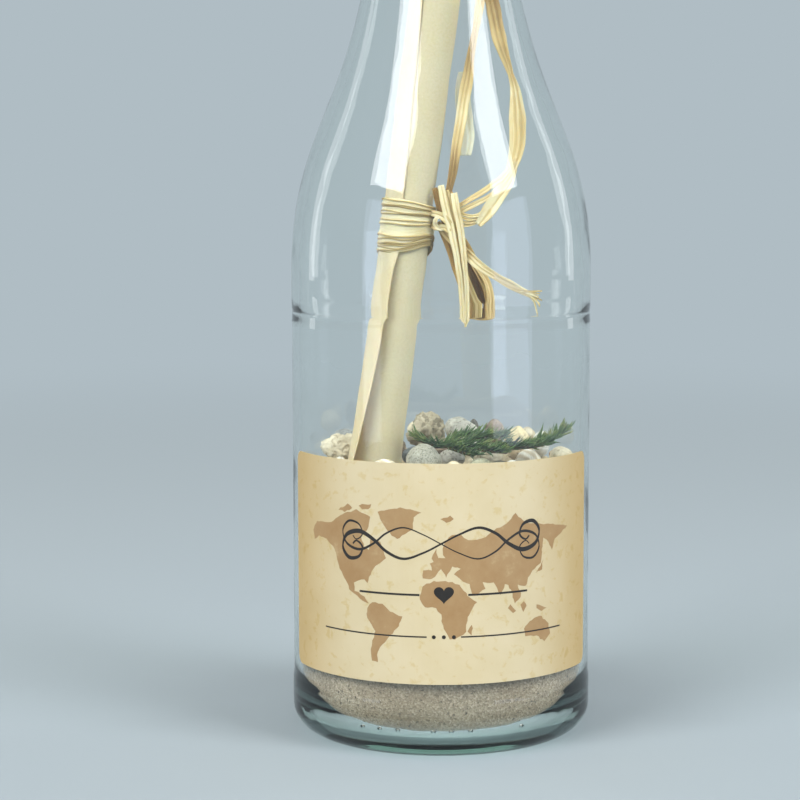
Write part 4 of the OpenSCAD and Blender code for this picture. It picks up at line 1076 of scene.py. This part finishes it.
# The label's print: a plain map of the world in tan, worn thin in places
MAP = [
    [(-43, 40.5), (-41, 43.5), (-34.5, 44), (-31, 46.5), (-25, 48.5), (-20.5, 47), (-21, 44), (-23.5, 41),
     (-22.5, 38), (-21, 37.5), (-20, 41.5), (-17.5, 40), (-15.5, 35.5), (-19, 33), (-20.5, 30.5), (-21.5, 28),
     (-22.5, 29), (-24.5, 28.5), (-26, 27.5), (-25.5, 25.5), (-22.5, 24), (-21, 22), (-24, 23.5), (-27, 25),
     (-29, 28), (-31, 31), (-32, 33.5), (-33, 36.5), (-36.5, 39), (-40, 39.5), (-42, 38)],
    [(-18, 48.5), (-11.5, 50), (-5.5, 49), (-7.5, 47.5), (-8, 44), (-10, 42.5), (-12.5, 41), (-15, 43.5),
     (-17.5, 46.5)],
    [(-20, 22.5), (-17, 22.5), (-14.5, 20.5), (-11, 19), (-12.5, 15.5), (-15, 13), (-17.5, 10), (-18.5, 7.5),
     (-18, 5.5), (-20, 6), (-20.5, 9), (-19, 14.5), (-21.5, 18), (-21.5, 21)],
    [(-5, 30), (-5, 32.5), (-2.5, 32.5), (-3, 34.5), (-0.5, 36), (1, 36), (0.5, 37.5), (1, 40.5), (3, 42.5),
     (5.5, 42.5), (7.5, 41), (10, 41), (12.5, 41.5), (15, 43.5), (19.5, 45.5), (21.5, 48), (24, 45.5),
     (26.5, 44.5), (34.5, 43.5), (42, 42), (39, 40.5), (36, 39), (35, 36), (33.5, 38.5), (31.5, 40),
     (31, 36.5), (30.5, 33), (27.5, 31), (26, 29), (25, 26.5), (22.5, 27.5), (23.5, 24), (21.5, 22),
     (20.5, 26), (18.5, 28), (17, 25), (15, 28.5), (12, 29), (12.5, 27), (9, 25), (8, 28.5), (5.5, 30),
     (3.5, 31.5), (5.5, 33), (3, 33.5), (1.5, 30.5), (0, 33), (-2.5, 30)],
    [(-5, 28), (-2, 29.5), (1, 29.5), (5, 28.5), (7.5, 25), (10, 23.5), (8, 20), (7, 17), (7, 15), (4, 13),
     (2.5, 13), (0.5, 17), (0, 20), (-1.5, 22), (-4.5, 22), (-6, 24.5)],
    [(8.5, 17), (9, 16), (8.5, 14), (7.5, 15)],
    [(24.5, 14.5), (26.5, 16.5), (29, 17.5), (31, 17.5), (33.5, 15), (34.5, 12), (32, 10), (29, 12),
     (25, 12.5)],
    [(20, 22), (22, 20), (21, 19.5), (19.5, 21)],
    [(23.5, 21.5), (24.5, 22.5), (25.5, 21), (24.5, 19.5)],
    [(29, 21), (33, 19.5), (31, 19), (29, 20)],
    [(30.5, 32), (31.5, 33.5), (31, 31), (28.5, 30)],
    [(-2.5, 36), (-1.5, 38.5), (-0.5, 35.5), (-2, 35)],
    [(0, 47), (2.5, 48), (3.5, 47), (1.5, 46)],
    [(-31.5, 48), (-28, 50), (-26.5, 49), (-29, 47.5)],
    [(-24, 50), (-20, 50.5), (-21, 49), (-23, 48.8)],
]
bm = bmesh.new()
# Without a seed, noise_vector would draw other coasts each time
noise.seed_set(7)
for land in MAP:
    # A coast is ragged: each side is cut into pieces of about 1 mm, which are pushed about a little
    coast = []
    for a, b in zip(land, land[1:] + land[:1]):
        a, b = Vector(a), Vector(b)
        count = max(1, round((b - a).length))
        for k in range(count):
            at = a + (b - a) * k / count
            push = noise.noise_vector(Vector((at.x * 0.9, at.y * 0.9, 3))) * 0.45
            coast.append((at.x + push.x, at.y + push.y))
    flat_shape(bm, coast)
bent(bm, GLUE_T + LABEL_T + INK_T)
# The ink lies thin and matt, and lets the paper through where it is worn
tan_ink = new_finish("tan printing ink")
place = add(tan_ink, "TexCoord")
worn = add(tan_ink, "TexNoise", {"Vector": place.outputs["Object"], "Scale": 130, "Detail": 8,
                                 "Roughness": 0.65})
tone = add(tan_ink, "ValToRGB", {"Fac": worn.outputs[0]},
           [(0.35, "#B28D5F"), (0.6, "#BB996C"), (0.72, "#CDB286")])
shader = add(tan_ink, "BsdfPrincipled", {"Base Color": tone.outputs[0], "Roughness": 0.6})
add(tan_ink, "OutputMaterial", {"Surface": shader.outputs[0]})
make_piece("printed_map", bm, tan_ink, "bottle", "label_paper")

# Over the map, in black ink: a pen flourish with a scroll at each end, a heart between rules, and dots
bm = bmesh.new()
SCROLL = [(0, 0, 0), (5, 2.6, 0), (10.5, 4.4, 0), (15.5, 2.6, 0), (19.5, -0.6, 0), (24, -2.6, 0),
          (28.4, -1.2, 0), (29.8, 2.4, 0), (27.6, 5.2, 0), (24.2, 4.6, 0), (23, 1.8, 0), (25, 0.2, 0),
          (26.6, 1.6, 0)]
for turn_x, turn_y, heavy in ((1, 1, 1), (-1, -1, 1), (1, -1, 0.6), (-1, 1, 0.6)):
    line = smooth_route(SCROLL)
    pen = []
    for (at, t), (after, _) in zip(line, line[1:]):
        side = Vector((at.y - after.y, after.x - at.x, 0)).normalized()
        side *= heavy * (0.24 + 0.42 * math.sin(math.pi * t) ** 2 * abs(side.y))
        pen.append([bm.verts.new((turn_x * rim.x, 40 + turn_y * rim.y, 0)) for rim in (at + side, at - side)])
    for low, high in zip(pen, pen[1:]):
        bm.faces.new((low[0], low[1], high[1], high[0]))
heart = []
for i in range(48):
    t = 2 * math.pi * i / 48
    x = 16 * math.sin(t) ** 3
    y = 13 * math.cos(t) - 5 * math.cos(2 * t) - 2 * math.cos(3 * t) - math.cos(4 * t)
    heart.append((0.8 + 0.175 * x, 25.8 + 0.17 * y))
flat_shape(bm, heart)
for left, right, y, w in ((-24, -6, 25.5, 0.28), (7.6, 25.6, 25.5, 0.28), (-37, -4, 13.6, 0.2),
                          (5.6, 38.6, 13.6, 0.2)):
    flat_shape(bm, [(left, y - w), (right, y - w), (right, y + w), (left, y + w)])
for x in (-2, 0.8, 3.6):
    flat_shape(bm, arc(x, 13.6, 0.55, 0, 345, 23))
bent(bm, GLUE_T + LABEL_T + 2 * INK_T)
# Black ink is a little glossier than the paper, and not quite even
black_ink = new_finish("black printing ink")
place = add(black_ink, "TexCoord")
uneven = add(black_ink, "TexNoise", {"Vector": place.outputs["Object"], "Scale": 300, "Detail": 3})
tone = add(black_ink, "ValToRGB", {"Fac": uneven.outputs[0]}, [(0.3, "#24211E"), (0.7, "#322D29")])
shader = add(black_ink, "BsdfPrincipled", {"Base Color": tone.outputs[0], "Roughness": 0.5})
add(black_ink, "OutputMaterial", {"Surface": shader.outputs[0]})
make_piece("printed_ornaments", bm, black_ink, "bottle", "label_paper")


# The room: a plain pale floor that fades into the backdrop, two tall softboxes and thin strips at the sides.
# The softboxes lean over in front to the left and right, and the shoulder mirrors each as a white strip.
BACKDROP = "#B0BDC4"


def shown_plainly(owner):
    """1 for the rays that show a surface as it is: from the camera, off gloss and through glass."""
    ray = add(owner, "LightPath")
    seen = add(owner, "Math", {0: ray.outputs["Is Camera Ray"], 1: ray.outputs["Is Glossy Ray"]},
               operation="MAXIMUM")
    seen = add(owner, "Math", {0: seen.outputs[0], 1: ray.outputs["Is Transmission Ray"]},
               operation="MAXIMUM")
    return seen.outputs[0]


bm = bmesh.new()
bmesh.ops.create_circle(bm, cap_ends=True, segments=96, radius=4.0)
mesh = bpy.data.meshes.new("floor")
bm.to_mesh(mesh)
bm.free()
floor = bpy.data.objects.new("floor", mesh)
scene.collection.objects.link(floor)
# Matt paint, without a gloss of its own
backdrop = new_finish("painted backdrop")
mesh.materials.append(backdrop)
# From 0.35 to 1.2 m away the floor turns into the plain colour of the backdrop
place = add(backdrop, "TexCoord")
away = add(backdrop, "VectorMath", {0: place.outputs["Object"]}, operation="LENGTH")
far = add(backdrop, "MapRange", {0: away.outputs["Value"], 1: 0.35, 2: 1.2}, interpolation_type="SMOOTHSTEP")
share = add(backdrop, "Math", {0: shown_plainly(backdrop), 1: far.outputs[0]}, operation="MULTIPLY")
shader = add(backdrop, "BsdfPrincipled", {"Base Color": linear(BACKDROP), "Roughness": 0.9,
                                          "Specular IOR Level": 0.1})
plain = add(backdrop, "Emission", {"Color": linear(BACKDROP)})
mixed = add(backdrop, "MixShader", {0: share.outputs[0], 1: shader.outputs[0], 2: plain.outputs[0]})
add(backdrop, "OutputMaterial", {"Surface": mixed.outputs[0]})

world = bpy.data.worlds.new("studio")
scene.world = world
world.use_nodes = True
world.node_tree.nodes.clear()
sky = add(world, "Background", {"Color": linear(BACKDROP)})
fill = add(world, "Background", {"Color": linear("#F4F1EC"), "Strength": 0.46})
both = add(world, "MixShader", {0: shown_plainly(world), 1: fill.outputs[0], 2: sky.outputs[0]})
add(world, "OutputWorld", {"Surface": both.outputs[0]})


def softbox(name, azimuth, foot, low, long, width, lean, radiance, colour="#FFFFFF"):
    """A panel of light at an angle from the camera's side. Its foot stands off, and its top leans over."""
    turn, lean = math.radians(azimuth), math.radians(lean)
    data = bpy.data.lights.new(name, "AREA")
    data.shape = "RECTANGLE"
    data.size, data.size_y = width, long
    data.energy = radiance * math.pi * width * long
    data.color = linear(colour)[:3]
    lamp = bpy.data.objects.new(name, data)
    away = foot - long / 2 * math.sin(lean)
    lamp.location = (away * math.sin(turn), -away * math.cos(turn), low + long / 2 * math.cos(lean))
    lamp.rotation_euler = (math.pi / 2 - lean, 0, turn)
    lamp.visible_camera = False
    scene.collection.objects.link(lamp)


softbox("softbox_left", -46.5, 2.26, 1.13, 1.9, 1.2, 24, 6.1)
softbox("softbox_right", 55, 2.3, 1.08, 1.8, 0.92, 32, 6.1)
softbox("skirt_left", -52.5, 0.7, 0.004, 0.38, 0.18, 0, 1.4, "#DCE6FF")
softbox("skirt_right", 55, 0.7, 0.004, 0.38, 0.4, 0, 1.4, "#DCE6FF")
softbox("rim_left", -115, 2.3, 0.02, 2.4, 0.32, 0, 1.6)
softbox("rim_right", 116, 2.3, 0.02, 2.4, 0.32, 0, 1.6)
